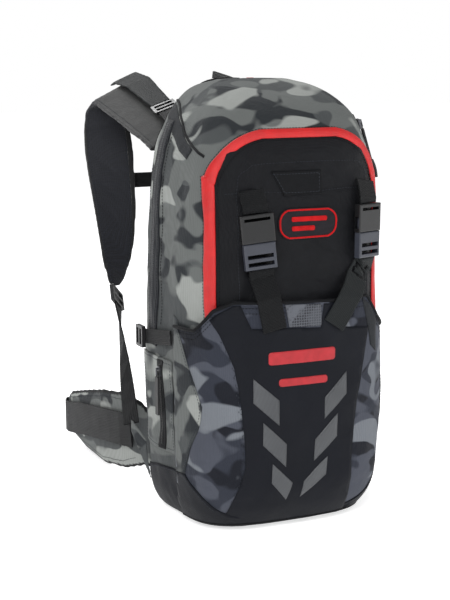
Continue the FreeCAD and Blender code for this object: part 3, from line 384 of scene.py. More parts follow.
black_nylon = woven("black_nylon", dye(11, 12, 15), sheen=0.03)
# Dark charcoal cloth: the painted shade strip under each top seam, and the dark wing by the pocket hem.
charcoal_cloth_and_seam_shade = woven("charcoal_cloth_and_seam_shade", dye(36, 38, 41), sheen=0.03)
thread_black = woven("black_thread", dye(9, 9, 11), 0.0004, sheen=0.02)
thread_grey = woven("grey_thread", dye(46, 49, 55), 0.0004, sheen=0.02)
skins = {}


def skin_of(*objects):
    """What a later piece is laid on: the outsides of the given pieces together."""
    key = tuple(o.name for o in objects)
    if key not in skins:
        corners = []
        polygons = []
        for o in objects:
            start = len(corners)
            corners += [v.co.copy() for v in o.data.vertices]
            polygons += [[start + i for i in p.vertices] for p in o.data.polygons]
        skins[key] = BVHTree.FromPolygons(corners, polygons)
    return skins[key]


rays = {
    "front": lambda u, v: ((u, -1, v), (0, 1, 0)),
    "back": lambda u, v: ((u, 1, v), (0, -1, 0)),
    "left": lambda u, v: ((-1, back_plane - u, v), (1, 0, 0)),
    "right": lambda u, v: ((1, back_plane - u, v), (-1, 0, 0)),
    "top": lambda u, v: ((u, back_plane - v, 1), (0, 0, -1)),
}


def laid(flat_points, view, on):
    """Millimetre places on a pattern, dropped straight onto a surface from one side."""
    surface = skin_of(*on)
    found = []
    for u, v in flat_points:
        start, direction = rays[view](u / 1000, v / 1000)
        hit = surface.ray_cast(Vector(start), Vector(direction))[0]
        if hit is None:
            near = Vector(start) + Vector(direction) * (1 - 0.09)
            hit = surface.find_nearest(near)[0]
        found.append(tuple(hit))
    return np.array(found)


def thick(name, base_points, faces, view, material, lift, depth, relief=None):
    """A sheet of even thickness lying on base points, lifted off them, with its edge closed."""
    normals = outward(base_points, faces)
    towards = -np.array(rays[view](0, 0)[1], float)
    if (normals @ towards).mean() < 0:
        faces = [tuple(reversed(f)) for f in faces]
        normals = -normals
    extra = np.zeros(len(base_points)) if relief is None else relief
    upper = base_points + normals * (lift + depth + extra)[:, None]
    lower = base_points + normals * lift
    count = len(base_points)
    sides = {}
    for face in faces:
        for a, b in zip(face, face[1:] + face[:1]):
            sides[(a, b)] = sides.get((a, b), 0) + 1
    edge = [(a, b) for a, b in sides if (b, a) not in sides]
    walls = [(b, a, a + count, b + count) for a, b in edge]
    under = [tuple(i + count for i in reversed(f)) for f in faces]
    return piece(name, np.concatenate([upper, lower]), list(faces) + under + walls, material)


def cut_out(name, outline, view, on, material, lift, depth, cell=4.0, relief=None):
    """A pattern piece cut to an outline in millimetres and laid on a surface."""
    corners = []
    for a, b in zip(outline, outline[1:] + outline[:1]):
        parts = max(1, round(math.dist(a, b) / cell))
        corners += [(a[0] + (b[0] - a[0]) * i / parts, a[1] + (b[1] - a[1]) * i / parts) for i in range(parts)]
    rim = np.array(corners)
    grid = [
        (u, v)
        for u in np.arange(rim[:, 0].min() + cell * 0.4, rim[:, 0].max(), cell)
        for v in np.arange(rim[:, 1].min() + cell * 0.4, rim[:, 1].max(), cell)
        if np.hypot(rim[:, 0] - u, rim[:, 1] - v).min() > cell * 0.45
    ]
    made = delaunay_2d_cdt([Vector(p) for p in corners + grid], [], [list(range(len(corners)))], 1, 1e-4)
    used = sorted({i for f in made[2] for i in f})
    renumber = {old: new for new, old in enumerate(used)}
    places = np.array([tuple(made[0][i]) for i in used])
    faces = [tuple(renumber[i] for i in f) for f in made[2]]
    raised = None if relief is None else relief(places)
    return thick(name, laid(places, view, on), faces, view, material, lift, np.full(len(places), depth), raised)


def smooth_path(corners, pitch=2.0, closed=False):
    """Evenly spaced places along a smooth line through corners, in millimetres."""
    p = np.array(corners, float)
    ends = (p[-1:], p[:2]) if closed else (2 * p[:1] - p[1:2], np.array([2 * p[-1] - p[-2]]))
    q = np.concatenate([ends[0], p, ends[1]])
    line = []
    for i in range(1, len(q) - 2):
        for t in np.linspace(0, 1, 12, endpoint=False):
            a, b, c, d = q[i - 1:i + 3]
            bend = (2 * a - 5 * b + 4 * c - d) * t * t + (3 * b - a - 3 * c + d) * t ** 3
            line.append(0.5 * (2 * b + (c - a) * t + bend))
    line.append(q[-2])
    line = np.array(line)
    run = np.concatenate([[0], np.cumsum(np.linalg.norm(np.diff(line, axis=0), axis=1))])
    at = np.linspace(0, run[-1], max(2, int(run[-1] / pitch) + 1))
    return np.stack([np.interp(at, run, line[:, k]) for k in range(line.shape[1])], 1)


def band(name, corners, width, view, on, material, lift, depth, across=8, crown=None, pitch=2.0):
    """A tape of one width laid along a smooth line, with an optional crown across it."""
    line = smooth_path(corners, pitch)
    along = np.gradient(line, axis=0)
    along /= np.linalg.norm(along, axis=1, keepdims=True)
    aside = np.stack([along[:, 1], -along[:, 0]], 1)
    shares = np.linspace(-0.5, 0.5, across + 1)
    out = aside[:, None, :] * shares[None, :, None] * float(width)
    places = (line[:, None, :] + out).reshape(-1, 2)
    heights = np.zeros(len(places)) if crown is None else np.tile([crown(s) for s in shares], len(line))
    faces = lattice(len(line), across + 1, False)
    depths = np.full(len(places), depth)
    return thick(name, laid(places, view, on), faces, view, material, lift, depths, heights)


def patch(name, outline, view, on, material, lift, depth, cell=4.0, relief=None, hides=()):
    """A cloth piece cut to an outline, laid on the surface and fixed to the pack."""
    made = cut_out(name, outline, view, on, material, lift, depth, cell, relief)
    return rides(made, "pack", hides)


def settled(made):
    """The piece with its modifiers applied to its mesh."""
    done = bpy.data.meshes.new_from_object(made.evaluated_get(bpy.context.evaluated_depsgraph_get()))
    made.modifiers.clear()
    made.data = done
    done.polygons.foreach_set("use_smooth", [True] * len(done.polygons))
    return made


def cording(name, points, radius, material):
    """Piping: a round cord along points in metres."""
    curve = bpy.data.curves.new(name, "CURVE")
    curve.dimensions = "3D"
    curve.bevel_depth = radius
    curve.bevel_resolution = 3
    curve.use_fill_caps = True
    spline = curve.splines.new("POLY")
    spline.points.add(len(points) - 1)
    for point, place in zip(spline.points, points):
        point.co = (*place, 1.0)
    holder = bpy.data.objects.new(name + "_line", curve)
    bpy.context.scene.collection.objects.link(holder)
    mesh = bpy.data.meshes.new_from_object(holder.evaluated_get(bpy.context.evaluated_depsgraph_get()))
    bpy.data.objects.remove(holder)
    made = bpy.data.objects.new(name, mesh)
    mesh.materials.clear()
    mesh.materials.append(material)
    mesh.polygons.foreach_set("use_smooth", [True] * len(mesh.polygons))
    bpy.context.scene.collection.objects.link(made)
    return made


def rides(made, body="pack", nodes_hidden=()):
    if nodes_hidden:
        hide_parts(*nodes_hidden)
    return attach(made, body)


piping_path = [(24, 494), (40, 492), (62, 483), (85, 470), (104, 457), (128, 446), (150, 437)]
# Outline of the painted shade strip that lies along the side under the top seam.
seam_shade_outline = [
    (24, 491), (40, 489), (62, 480), (85, 467), (104, 454), (127, 443), (119, 432), (98, 440),
    (76, 452), (56, 463), (30, 476),
]
for view in ("left", "right"):
    seam = laid(smooth_path(piping_path), view, [bag])
    rides(cording("top_piping_" + view, seam, 0.0017, black_nylon))
    # The dark strip below the piping is painted shade, laid on as a thin sheet.
    patch("seam_shade_strip_" + view, seam_shade_outline, view, [bag], charcoal_cloth_and_seam_shade, 0.0002, 0.0007, 5.0)

# ---------------------------------------------------------------- stitching
# Every seam is a lockstitch of heavy thread. The stitches are short beads set along the seam's
# line, each turned to lie on the fabric below it.


def bead_rows():
    """A node tree that sets small beads along lines: stitches along them, or zip teeth across."""
    tree = bpy.data.node_groups.new("bead_rows", "GeometryNodeTree")
    sizes = {}
    tree.interface.new_socket("Line", in_out="INPUT", socket_type="NodeSocketGeometry")
    for name in ("Pitch", "Length", "Width", "Height", "Turn"):
        sizes[name] = tree.interface.new_socket(name, in_out="INPUT", socket_type="NodeSocketFloat").identifier
    thread = tree.interface.new_socket("Thread", in_out="INPUT", socket_type="NodeSocketMaterial")
    sizes["Thread"] = thread.identifier
    tree.interface.new_socket("Beads", in_out="OUTPUT", socket_type="NodeSocketGeometry")

    def add(kind, into, **settings):
        node = tree.nodes.new(kind)
        for key, value in settings.items():
            setattr(node, key, value)
        for key, value in into.items():
            if isinstance(value, bpy.types.NodeSocket):
                tree.links.new(value, node.inputs[key])
            else:
                node.inputs[key].default_value = value
        return node.outputs[0]

    given = tree.nodes.new("NodeGroupInput").outputs
    line = add("GeometryNodeMeshToCurve", {"Mesh": given["Line"]})
    line = add("GeometryNodeResampleCurve", {"Curve": line, "Length": given["Pitch"]}, mode="LENGTH")
    facing = add("GeometryNodeInputNamedAttribute", {"Name": "facing"}, data_type="FLOAT_VECTOR")
    tangent = add("GeometryNodeInputTangent", {})
    axes = {"Primary Axis": tangent, "Secondary Axis": facing}
    lie = add("FunctionNodeAxesToRotation", axes, primary_axis="X", secondary_axis="Z")
    swing = add("ShaderNodeCombineXYZ", {"Z": given["Turn"]})
    swing = add("FunctionNodeEulerToRotation", {0: swing})
    lie = add("FunctionNodeRotateRotation", {0: lie, 1: swing}, rotation_space="LOCAL")
    bead = add("GeometryNodeMeshUVSphere", {"Segments": 6, "Rings": 4, "Radius": 0.5})
    size = add("ShaderNodeCombineXYZ", {"X": given["Length"], "Y": given["Width"], "Z": given["Height"]})
    bead = add("GeometryNodeTransform", {"Geometry": bead, "Scale": size})
    beads = add("GeometryNodeInstanceOnPoints", {"Points": line, "Instance": bead, "Rotation": lie})
    beads = add("GeometryNodeRealizeInstances", {"Geometry": beads})
    beads = add("GeometryNodeSetMaterial", {"Geometry": beads, "Material": given["Thread"]})
    tree.links.new(beads, tree.nodes.new("NodeGroupOutput").inputs[0])
    return tree, sizes


bead_tree, bead_sizes = bead_rows()


def beads(name, lines, on, slot, body="pack", thread=thread_black, pitch=0.0038, length=0.003, width=0.0009,
          height=0.0008, turn=0.0, lift=0.0):
    """Rows of stitches or teeth along lines of points in metres, facing away from the piece below."""
    surface = skin_of(*on)
    corners = []
    links = []
    facing = []
    for line in lines:
        start = len(corners)
        for place in line:
            hit, across = surface.find_nearest(Vector(place))[:2]
            corners.append(tuple(hit + across * lift))
            facing.append(tuple(across))
        links += [(start + i, start + i + 1) for i in range(len(line) - 1)]
    mesh = bpy.data.meshes.new(name + "_line")
    mesh.from_pydata(corners, links, [])
    mesh.attributes.new("facing", "FLOAT_VECTOR", "POINT").data.foreach_set("vector", np.array(facing).ravel())
    guide = bpy.data.objects.new(name + "_line", mesh)
    bpy.context.scene.collection.objects.link(guide)
    rows_of = guide.modifiers.new("beads", "NODES")
    rows_of.node_group = bead_tree
    chosen = dict(Pitch=pitch, Length=length, Width=width, Height=height, Turn=turn, Thread=thread)
    for key, value in chosen.items():
        rows_of[bead_sizes[key]] = value
    done = bpy.data.meshes.new_from_object(guide.evaluated_get(bpy.context.evaluated_depsgraph_get()))
    bpy.data.objects.remove(guide)
    made = bpy.data.objects.new(name, done)
    done.polygons.foreach_set("use_smooth", [True] * len(done.polygons))
    bpy.context.scene.collection.objects.link(made)
    return rides(made, body)


def traced(corners, view, on, pitch=3.0, straight=False):
    """A seam's line on a surface, in metres, from millimetre corners on one view."""
    if straight:
        path = [np.array(corners[0], float)]
        for a, b in zip(corners, corners[1:]):
            parts = max(1, round(math.dist(a, b) / pitch))
            path += [np.array(a) + (np.array(b) - np.array(a)) * (i + 1) / parts for i in range(parts)]
        return laid(path, view, on)
    return laid(smooth_path(corners, pitch), view, on)


edge_seams = []
for view in ("left", "right"):
    edge_seams.append(traced([(28, 488), (62, 479), (85, 466), (104, 453), (126, 443)], view, [bag]))
    edge_seams.append(traced([(66, 478), (68, 420), (70, 300), (70, 236)], view, [bag]))
    edge_seams.append(traced([(20, 478), (14, 420), (12, 300), (12, 84)], view, [bag]))
beads("body_stitching", edge_seams, [bag], "black_fabric", lift=0.0006)

# ---------------------------------------------------------------- inside the bag
# A lining sheet parts the two compartments. Behind it are the folded airbag, the gas cylinder in
# its foam cradle with the valve and hose, and the frame sheet with two aluminium stays.


def cut_from(name, node, material, cell, soften=3, swell=0.0):
    """A soft piece over its solid in the frame: even cells, softened edges, drawn in or let out."""
    mesh = nodes[node].data.copy()
    mesh.materials.clear()
    mesh.materials.append(material)
    made = bpy.data.objects.new(name, mesh)
    bpy.context.scene.collection.objects.link(made)
    weld = made.modifiers.new("weld", "WELD")
    weld.merge_threshold = 0.00002
    cells = made.modifiers.new("cells", "REMESH")
    cells.mode = "VOXEL"
    cells.voxel_size = cell
    if soften:
        soft = made.modifiers.new("soft", "SMOOTH")
        soft.iterations = soften
        soft.factor = 0.5
    settled(made)
    if swell:
        co = np.array([v.co for v in made.data.vertices])
        co += np.array([v.normal for v in made.data.vertices]) * swell
        made.data.vertices.foreach_set("co", co.ravel())
        made.data.update()
    return made


def moulded(name, colour, speckle=0.0002, low=0.3, high=0.45):
    """Moulded plastic: a fine spark-eroded grain, faint flow marks and rubbed patches."""
    plastic = Finish(name, Specular_IOR_Level=0.5)
    plastic.coloured(plastic.tinted(plastic.stops(plastic.cloudy(40.0), [(0.2, colour), (0.9, colour)]),
                                    plastic.sum("SUBTRACT", plastic.cloudy(90.0, 4.0), 0.5), 0.4))
    plastic.raised(plastic.cloudy(2600.0, 2.0), speckle * 0.4)
    plastic.raised(plastic.cloudy(240.0, 2.0), speckle * 0.5)
    plastic.rough(plastic.cloudy(120.0, 3.0), low, high)
    return plastic.material


def metal(name, colour, low, high, brushed=(1, 1, 1)):
    alloy = Finish(name, Metallic=1.0)
    grain = alloy.cloudy(900.0, 2.0, 0.0, brushed)
    plain = alloy.stops(grain, [(0.0, colour), (1.0, colour)])
    alloy.coloured(alloy.tinted(plain, alloy.sum("SUBTRACT", grain, 0.5), 0.3))
    alloy.raised(grain, 0.00004)
    alloy.rough(alloy.cloudy(60.0, 3.0), low, high)
    return alloy.material


def dress(material, *names):
    """A solid of the frame that keeps its shape takes its finish."""
    for name in names:
        for holder in nodes[name].material_slots:
            holder.material = material


lining = woven("lining", dye(120, 122, 126), 0.0008)
rides(cut_from("inner_divider", "divider", lining, 0.0019, 2), "pack", ["divider"])
airbag_nylon = woven("airbag_nylon", dye(176, 62, 42), 0.0012, crease=0.004)
folded_airbag = cut_from("folded_airbag", "airbag_module", airbag_nylon, 0.003, 3)
rides(folded_airbag, "pack", ["airbag_module"])
cradle_foam = woven("cradle_foam", dye(58, 58, 60), 0.002, 0.0003)
cradle = cut_from("cylinder_cradle_foam", "cylinder_cradle", cradle_foam, 0.0015, 1)
rides(cradle, "pack", ["cylinder_cradle"])
dress(moulded("frame_sheet_plastic", dye(40, 41, 43)), "frame_sheet")
dress(metal("stay_aluminium", dye(170, 172, 175), 0.3, 0.45, (1, 1, 0.04)), "frame_stays")
dress(moulded("cylinder_paint", dye(150, 26, 24), 0.0001, 0.2, 0.3), "gas_cylinder")
dress(metal("valve_metal", dye(150, 148, 144), 0.28, 0.42), "valve_unit", "valve_plunger")
dress(moulded("hose_rubber", dye(28, 28, 30), 0.0002, 0.5, 0.65), "gas_hose", "trigger_cable")

# ---------------------------------------------------------------- front panel of the tool compartment
# The panel inside the red zip is black pack cloth, cut full and gathered, so it stands in soft
# upright pleats at its left, with a stitched seam all round and a cross seam under the badge.

pack_cloth = woven("pack_cloth", dye(10, 11, 15), 0.0012, 0.0002, 0.0014, 0.06, 0.45, 0.62, 0.5)


def arch(half, bottom, top, radius, steps=9):
    """An inverted U in millimetres: straight legs and rounded top corners."""
    turns = [math.pi - math.pi / 2 * i / steps for i in range(steps + 1)]
    left = [(-half + radius + radius * math.cos(a), top - radius + radius * math.sin(a)) for a in turns]
    return [(-half, bottom)] + left + [(-x, z) for x, z in reversed(left)] + [(half, bottom)]


def pleats(places):
    """Height of the panel's gathers: upright folds by its left edge, soft ones elsewhere."""
    x = places[:, 0]
    z = places[:, 1]
    inside = eased(0, 16, 100 - np.abs(x)) * eased(0, 18, 456 - z)
    sway = 5 * np.sin(z / 31) + 3 * np.sin(z / 13 + 1)
    left = np.exp(-((x + 58) / 30) ** 2) * (0.5 + 0.5 * np.sin((x + sway) / 4.6)) ** 1.5
    wide = 0.5 + 0.5 * np.sin((x * 0.35 + z * 0.9 + 9 * np.sin(x / 24)) / 11)
    seam = 1 - 0.85 * np.exp(-((z - 396 - 4 * np.sin(x / 30)) / 3.5) ** 2)
    cloth = 0.0034 * left + 0.0015 * wide + 0.0012 * np.exp(-((x - 20) / 60) ** 2)
    small = np.array([noise.noise(Vector((a / 17, b / 9, 0.3))) for a, b in places]) * 0.0009
    return (cloth * seam + small) * inside


front_panel = patch("front_panel_cloth", arch(103, 192, 462, 64), "front", [bag], pack_cloth, 0.0002, 0.0012,
                    2.6, pleats, ["front_panel"])
round_seam = [
    (-77, 262), (-78, 340), (-77, 408), (-66, 424), (-48, 430), (62, 430), (80, 422), (87, 404), (88, 262),
]
cross_seam = [(-88, 397), (-60, 399), (0, 397), (60, 399), (92, 396)]
panel_seams = [traced(seam, "front", [front_panel]) for seam in (round_seam, cross_seam)]
beads("front_panel_stitching", panel_seams, [front_panel], "black_fabric",
      thread=thread_grey, lift=0.0002, width=0.0007)

patch_points = [(-39, 421), (23, 421), (23, 394), (-24, 394)]
tool_patch = patch("tool_patch", patch_points, "front", [front_panel], black_nylon, 0.0, 0.0014,
                   3.0, hides=["daisy_patch"])
border = [(-36, 418), (20, 418), (20, 397), (-23, 397), (-36, 418)]
border = traced(border, "front", [tool_patch], straight=True)
beads("tool_patch_stitching", [border], [tool_patch], "black_fabric", thread=thread_grey)

# A woven badge stands at the middle of the panel: a plain rounded frame with two bars in red
# thread. It carries no name.
badge_cloth = woven("badge_cloth", dye(30, 27, 31), 0.0006)
red_thread = woven("red_thread", dye(178, 16, 20), 0.0007, 0.0002, 0.0004, 0.02)


def rounded(x0, x1, z0, z1, radius):
    """A rounded rectangle's outline in millimetres."""
    outline = []
    left, right, low, high = x0 + radius, x1 - radius, z0 + radius, z1 - radius
    for turn, (cx, cz) in enumerate(((right, high), (left, high), (left, low), (right, low))):
        for i in range(7):
            a = math.pi / 2 * (turn + i / 6)
            outline.append((cx + radius * math.cos(a), cz + radius * math.sin(a)))
    return outline


badge = patch("badge_ground", rounded(-31, 43, 344, 379, 15), "front", [front_panel], badge_cloth,
              0.0003, 0.0010, 3.0)
frame_line = laid(smooth_path(rounded(-29, 41, 346, 377, 13), 1.5, True), "front", [badge])
rides(cording("badge_frame", frame_line, 0.0011, red_thread))
for index, (x0, x1, z0, z1) in enumerate(((-15, 29, 364, 369.5), (-15, 14, 353.5, 359))):
    patch(f"badge_bar_{index + 1}", rounded(x0, x1, z0, z1, 2), "front", [badge], red_thread,
          0.0, 0.0007, 2.0)

# ---------------------------------------------------------------- red zip round the front panel
# A coated water-resistant zip runs round the panel as an inverted U, sewn in by its two edges as
# one crowned red band.

red_coating = Finish("red_zip_coating", Roughness=0.42, Specular_IOR_Level=0.45)
red_shade = red_coating.stops(red_coating.cloudy(60.0), [(0.3, dye(176, 12, 15)), (0.8, dye(198, 20, 22))])
red_coating.coloured(red_coating.tinted(red_shade, red_coating.threads(0.0011), 0.08))
red_coating.raised(red_coating.threads(0.0011), 0.00015)
red_coating.raised(red_coating.cloudy(90.0, 3.0), 0.0005)
red_path = arch(102.5, 198, 461.5, 64)


def domed(height):
    """A tape's crown of that height, from its share across: nothing at both edges."""
    return lambda s: height * (1 - (2 * s) ** 2)


red_band = band("red_zip", red_path, 9.5, "front", [bag], red_coating.material, 0.0016, 0.0012, 10,
                domed(0.0014))
rides(red_band, "pack", ["red_zip_band"])
red_edges = [
    traced(arch(108.6, 200, 467.6, 70), "front", [bag]),
    traced(arch(96, 200, 455, 58), "front", [front_panel]),
]
beads("red_zip_stitching", red_edges, [bag, red_band, front_panel], "black_fabric", lift=0.0004, width=0.0008)

# ---------------------------------------------------------------- stash pocket on the lower front
# A second layer of darker camouflage cloth wraps the lower front, sewn in at the sides and base and
# open at its hem, which is bound in black tape.

lower_greys = (dye(22, 24, 31), dye(42, 45, 54), dye(66, 69, 78), dye(104, 108, 114))
camo_dark = camouflage("camo_cloth_lower", lower_greys, 16.0, 40.0)
hem_corners = np.array([
    (-150, 236), (-118, 242), (-104, 267), (-85, 277), (50, 272), (80, 274), (100, 246), (118, 230), (150, 226),
], float)


def hem_at(x):
    return np.interp(x, hem_corners[:, 0], hem_corners[:, 1])


sweep = np.linspace(math.pi + 0.13, 2 * math.pi - 0.13, 150)
top = np.full(len(sweep), 250.0)
for _ in range(6):
    top = hem_at(body_points(sweep, top)[:, 0] * 1000)
pocket_gap = 2.0    # millimetres between the bag and the cloth, all round
pocket_room = 8.7   # and this much more in front, where the pocket is full
pocket_rows = []
for share in np.linspace(0, 1, 92):
    height = 3 + (top - 3) * share
    ahead = pocket_gap + pocket_room * eased(16, 66, height)
    pocket_rows.append(body_points(sweep, height, pocket_gap, ahead))
pocket_points = np.array(pocket_rows)
pocket_faces = lattice(*pocket_points.shape[:2], False)
flat = pocket_points.reshape(-1, 3)
slack = crumple(flat * (1, 1, 0.7), 26.0, 0.0018, 5.0) * eased(0.0, 0.05, flat[:, 2])
cloth_depth = 0.0016
pocket = thick("stash_pocket_cloth", flat, pocket_faces, "front", camo_dark, -cloth_depth,
               np.full(len(flat), cloth_depth), slack)
rides(pocket, "pack", ["stash_pocket"])
hem_line = np.array(pocket_rows[-1])
rides(cording("stash_hem_binding", hem_line, 0.0019, black_nylon))
base_line = np.array(pocket_rows[2])
rides(cording("stash_base_binding", base_line, 0.0021, black_nylon))
hem_rows = [np.array(pocket_rows[-3]), np.array(pocket_rows[-5])]
beads("stash_hem_stitching", hem_rows, [pocket], "black_fabric", lift=0.0002, width=0.0008)

# Rubberised cloth covers the pocket's middle, glued and edge-stitched, and a strip of honeycomb
# mesh cloth closes the gap between it and the hem.
rubber = Finish("rubberised_cloth", Specular_IOR_Level=0.13)
cells = rubber.add("TexVoronoi", into={"Vector": rubber.place, "Scale": 900.0}, feature="DISTANCE_TO_EDGE")[1]
rubber_shade = rubber.stops(rubber.cloudy(12.0, 4.0), [(0.3, dye(12, 14, 20)), (0.75, dye(17, 19, 26))])
rubber.coloured(rubber.tinted(rubber_shade, rubber.threads(0.0015, 0.6), 0.12))
rubber.raised(rubber.cloudy(30.0, 3.0), 0.0012)
rubber.raised(cells, 0.0002)
rubber.rough(rubber.cloudy(22.0, 4.0), 0.5, 0.68)
panel_outline = [
    (-108, 256), (-100, 240), (-93, 222), (-86, 202), (-80, 165), (-76, 130), (-74, 106), (-74, 84),
    (-78, 66), (-84, 45), (-92, 7), (-40, 5), (20, 5), (66, 8), (62, 50), (61, 80), (62, 102), (64, 124),
    (67, 150), (72, 175), (78, 206), (84, 236), (42, 241.5), (58, 269), (21, 270), (17, 243),
    (-30, 245.5), (-67, 247), (-79, 274), (-86, 273.5), (-101, 264),
]
pocket_panel = patch("pocket_front_panel", panel_outline, "front", [pocket], rubber.material,
                     0.0001, 0.0009, hides=["pocket_panel"])
zigzag = []
for i in range(40):
    z = 232 - i * 5
    edge_x = np.interp(z, [18, 50, 84, 130, 202, 244], [-90, -82, -74, -76, -86, -100])
    zigzag.append((edge_x + (1.8 if i % 2 else -2.4), z))
right_edge = [(79, 222), (68, 172), (60.5, 122), (57, 80), (58, 22)]
panel_lines = [
    traced(zigzag, "front", [pocket], straight=True),
    traced(right_edge, "front", [pocket]),
    traced([(-62, 242), (17, 239.5), (38, 238)], "front", [pocket], straight=True),
]
beads("pocket_panel_stitching", panel_lines, [pocket, pocket_panel], "coated_panel",
      thread=thread_grey, width=0.0008, lift=0.0002)

honeycomb = Finish("honeycomb_cloth", Roughness=0.8, Sheen_Weight=0.1)
comb_cells = {"Vector": honeycomb.place, "Scale": 330.0, "Randomness": 0.15}
comb = honeycomb.add("TexVoronoi", into=comb_cells, feature="DISTANCE_TO_EDGE")[1]
ridge = honeycomb.stops(comb, [(0.08, white), (0.2, black)])
blots = honeycomb.stops(honeycomb.cloudy(42.0, 1.5, 0.5), [(0.5, dye(30, 32, 40)), (0.52, dye(56, 59, 66))])
honeycomb.coloured(honeycomb.over(ridge, blots, dye(80, 83, 90)))
honeycomb.raised(ridge, 0.0004)
patch("hem_mesh_strip", [(-27, 272), (17, 270), (18, 245), (-22, 246)], "front", [pocket],
      honeycomb.material, 0.0001, 0.0007, 3.0)
patch("hem_dark_wing", [(74, 272), (86, 262), (98, 243), (98, 205), (88, 214), (84, 236)], "front", [pocket],
      charcoal_cloth_and_seam_shade, 0.0001, 0.0007, 3.0)

# Two plain bars in red print and six reflective parallelograms are heat-pressed on the panel. The
# reflective film has fine glass beads and a faint lattice.
red_print = Finish("red_print", Roughness=0.55)
red_dyes = [(0.3, dye(150, 14, 24)), (0.8, dye(172, 22, 34))]
red_print.coloured(red_print.stops(red_print.cloudy(120.0, 3.0), red_dyes))
red_print.raised(red_print.cloudy(700.0), 0.00006)
for index, (x0, x1, z0, z1) in enumerate(((-48, 36, 204, 219), (-35, 26, 178, 187))):
    patch(f"red_print_bar_{index + 1}", rounded(x0, x1, z0, z1, 3.5), "front", [pocket_panel],
          red_print.material, 0.0, 0.0003, 3.0)
film = Finish("reflective_film", Specular_IOR_Level=0.4)
film_shade = film.stops(film.cloudy(20.0, 3.0), [(0.3, dye(60, 62, 65)), (0.8, dye(74, 76, 79))])
film.coloured(film.tinted(film_shade, film.threads(0.0022, 0.7), 0.16))
film.raised(film.cloudy(3200.0), 0.00005)
film.rough(film.cloudy(50.0), 0.38, 0.5)
film_bars = [
    [(-66, 190), (-35, 162.5), (-35, 133), (-66, 162)], [(-54, 138), (-25, 110), (-25, 82), (-54, 111)],
    [(-42, 88), (-16, 62), (-21, 40), (-42, 64)], [(23, 160), (52, 188), (52, 161.5), (23, 134.5)],
    [(11.5, 111), (40, 139.5), (40, 112), (11, 85)], [(-1.5, 61.5), (28, 89), (27.5, 66.5), (-3.5, 41.5)],
]
for index, outline in enumerate(film_bars):
    patch(f"reflective_bar_{index + 1}", outline, "front", [pocket_panel], film.material, 0.0, 0.0004,
          hides=["reflective_bars"] if index == 0 else ())

# ---------------------------------------------------------------- sides: burst flaps, side pocket, zips
# A charcoal flap hides the airbag's burst zip down each side, with the zip's coil showing along
# it. The left side has a flat camouflage pocket under a broad black tape, the right the main zip.

flap_cloth = woven("flap_cloth", dye(34, 36, 40), 0.0013, 0.0003, 0.001, 0.1)
coil_grey = moulded("coil_grey", dye(40, 42, 46), 0.0002, 0.4, 0.55)
flap_path = [(50, 207), (50, 300), (50, 400), (50, 440), (50, 472)]
for view in ("left", "right"):
    flap = band("burst_flap_" + view, flap_path, 24, view, [bag], flap_cloth, 0.0003, 0.0012, 10, domed(0.0006))
    rides(flap, "pack", ["airbag_zip_flaps"] if view == "left" else ())
    middle, *sides = [traced([(x, 212), (x, 468)], view, [flap]) for x in (50, 41, 59)]
    beads("burst_coil_" + view, [middle], [flap], "grey_flap", thread=coil_grey, pitch=0.0024,
          length=0.0075, width=0.0017, height=0.0016, turn=math.pi / 2)
    beads("burst_flap_stitching_" + view, sides, [flap], "grey_flap")


def slack_pocket(places):
    """Height of the side pocket's soft folds, nothing at its front and back edges."""
    x = places[:, 0]
    z = places[:, 1]
    return 0.0012 * eased(0, 16, 42 - np.abs(x - 62)) * (0.6 + 0.4 * np.sin(z / 9 + x / 14))


side_pocket = patch("side_pocket_cloth", [(20, 84), (20, 196), (104, 196), (104, 84)], "left", [bag], camo,
                    0.0003, 0.0014, 4.0, slack_pocket, ["side_pocket_left"])
border = [(23, 88), (23, 192), (101, 192), (101, 88), (23, 88)]
border = traced(border, "left", [side_pocket], straight=True)
beads("side_pocket_stitching", [border], [side_pocket], "black_fabric", thread=thread_grey)
zip_cloth = woven("zip_tape_cloth", dye(17, 18, 20), 0.0008, 0.0002, 0.0004)
coil_black = moulded("coil_black", dye(13, 14, 16), 0.0001, 0.35, 0.5)
side_path = [(78, 86), (78, 140), (78, 194)]
side_tape = band("side_zip_tape", side_path, 15, "left", [side_pocket], zip_cloth, 0.0001, 0.0007)
main_path = [(124, 277), (124, 360), (124, 440), (124, 478)]
main_tape = band("main_zip_tape", main_path, 10, "right", [bag], zip_cloth, 0.0003, 0.0009)
rides(side_tape, "pack", ["zip_tapes"])
rides(main_tape)
coils = (
    ("side", [(78, 92), (78, 188)], "left", side_tape),
    ("main", [(124, 279), (124, 400), (124, 476)], "right", main_tape),
)
for name, corners, view, tape in coils:
    beads(name + "_zip_coil", [traced(corners, view, [tape])], [tape], "zip_tape", thread=coil_black,
          pitch=0.0016, length=0.0046, width=0.0011, height=0.0012, turn=math.pi / 2)
dress(metal("zip_metal", dye(92, 93, 97), 0.3, 0.45), "main_zip_slider", "side_zip_slider")
pull_rubber = moulded("pull_rubber", dye(12, 12, 14), 0.0003, 0.5, 0.65)
dress(pull_rubber, "main_zip_pull", "side_zip_pull")

# A short rubber-coated cord hangs from the main zip's pull, along the slope of its zip.
hung = np.array([np.array(v.co) for v in nodes["main_zip_pull"].data.vertices])
into_pull = (0.0008, 0, 0.003)
pull_end = hung[np.argmin(hung[:, 2])] + into_pull
down_zip = np.array((0.3039, 0.0, -0.9527))
cord_length = 0.022
cord_sway = 0.0012
sway_turn = 150   # radians in each metre
grip = [
    pull_end + down_zip * t + (cord_sway * math.sin(t * sway_turn), 0, 0)
    for t in np.linspace(0, cord_length, 12)
]
rides(cording("main_pull_cord", grip, 0.0019, pull_rubber), "main_pull")

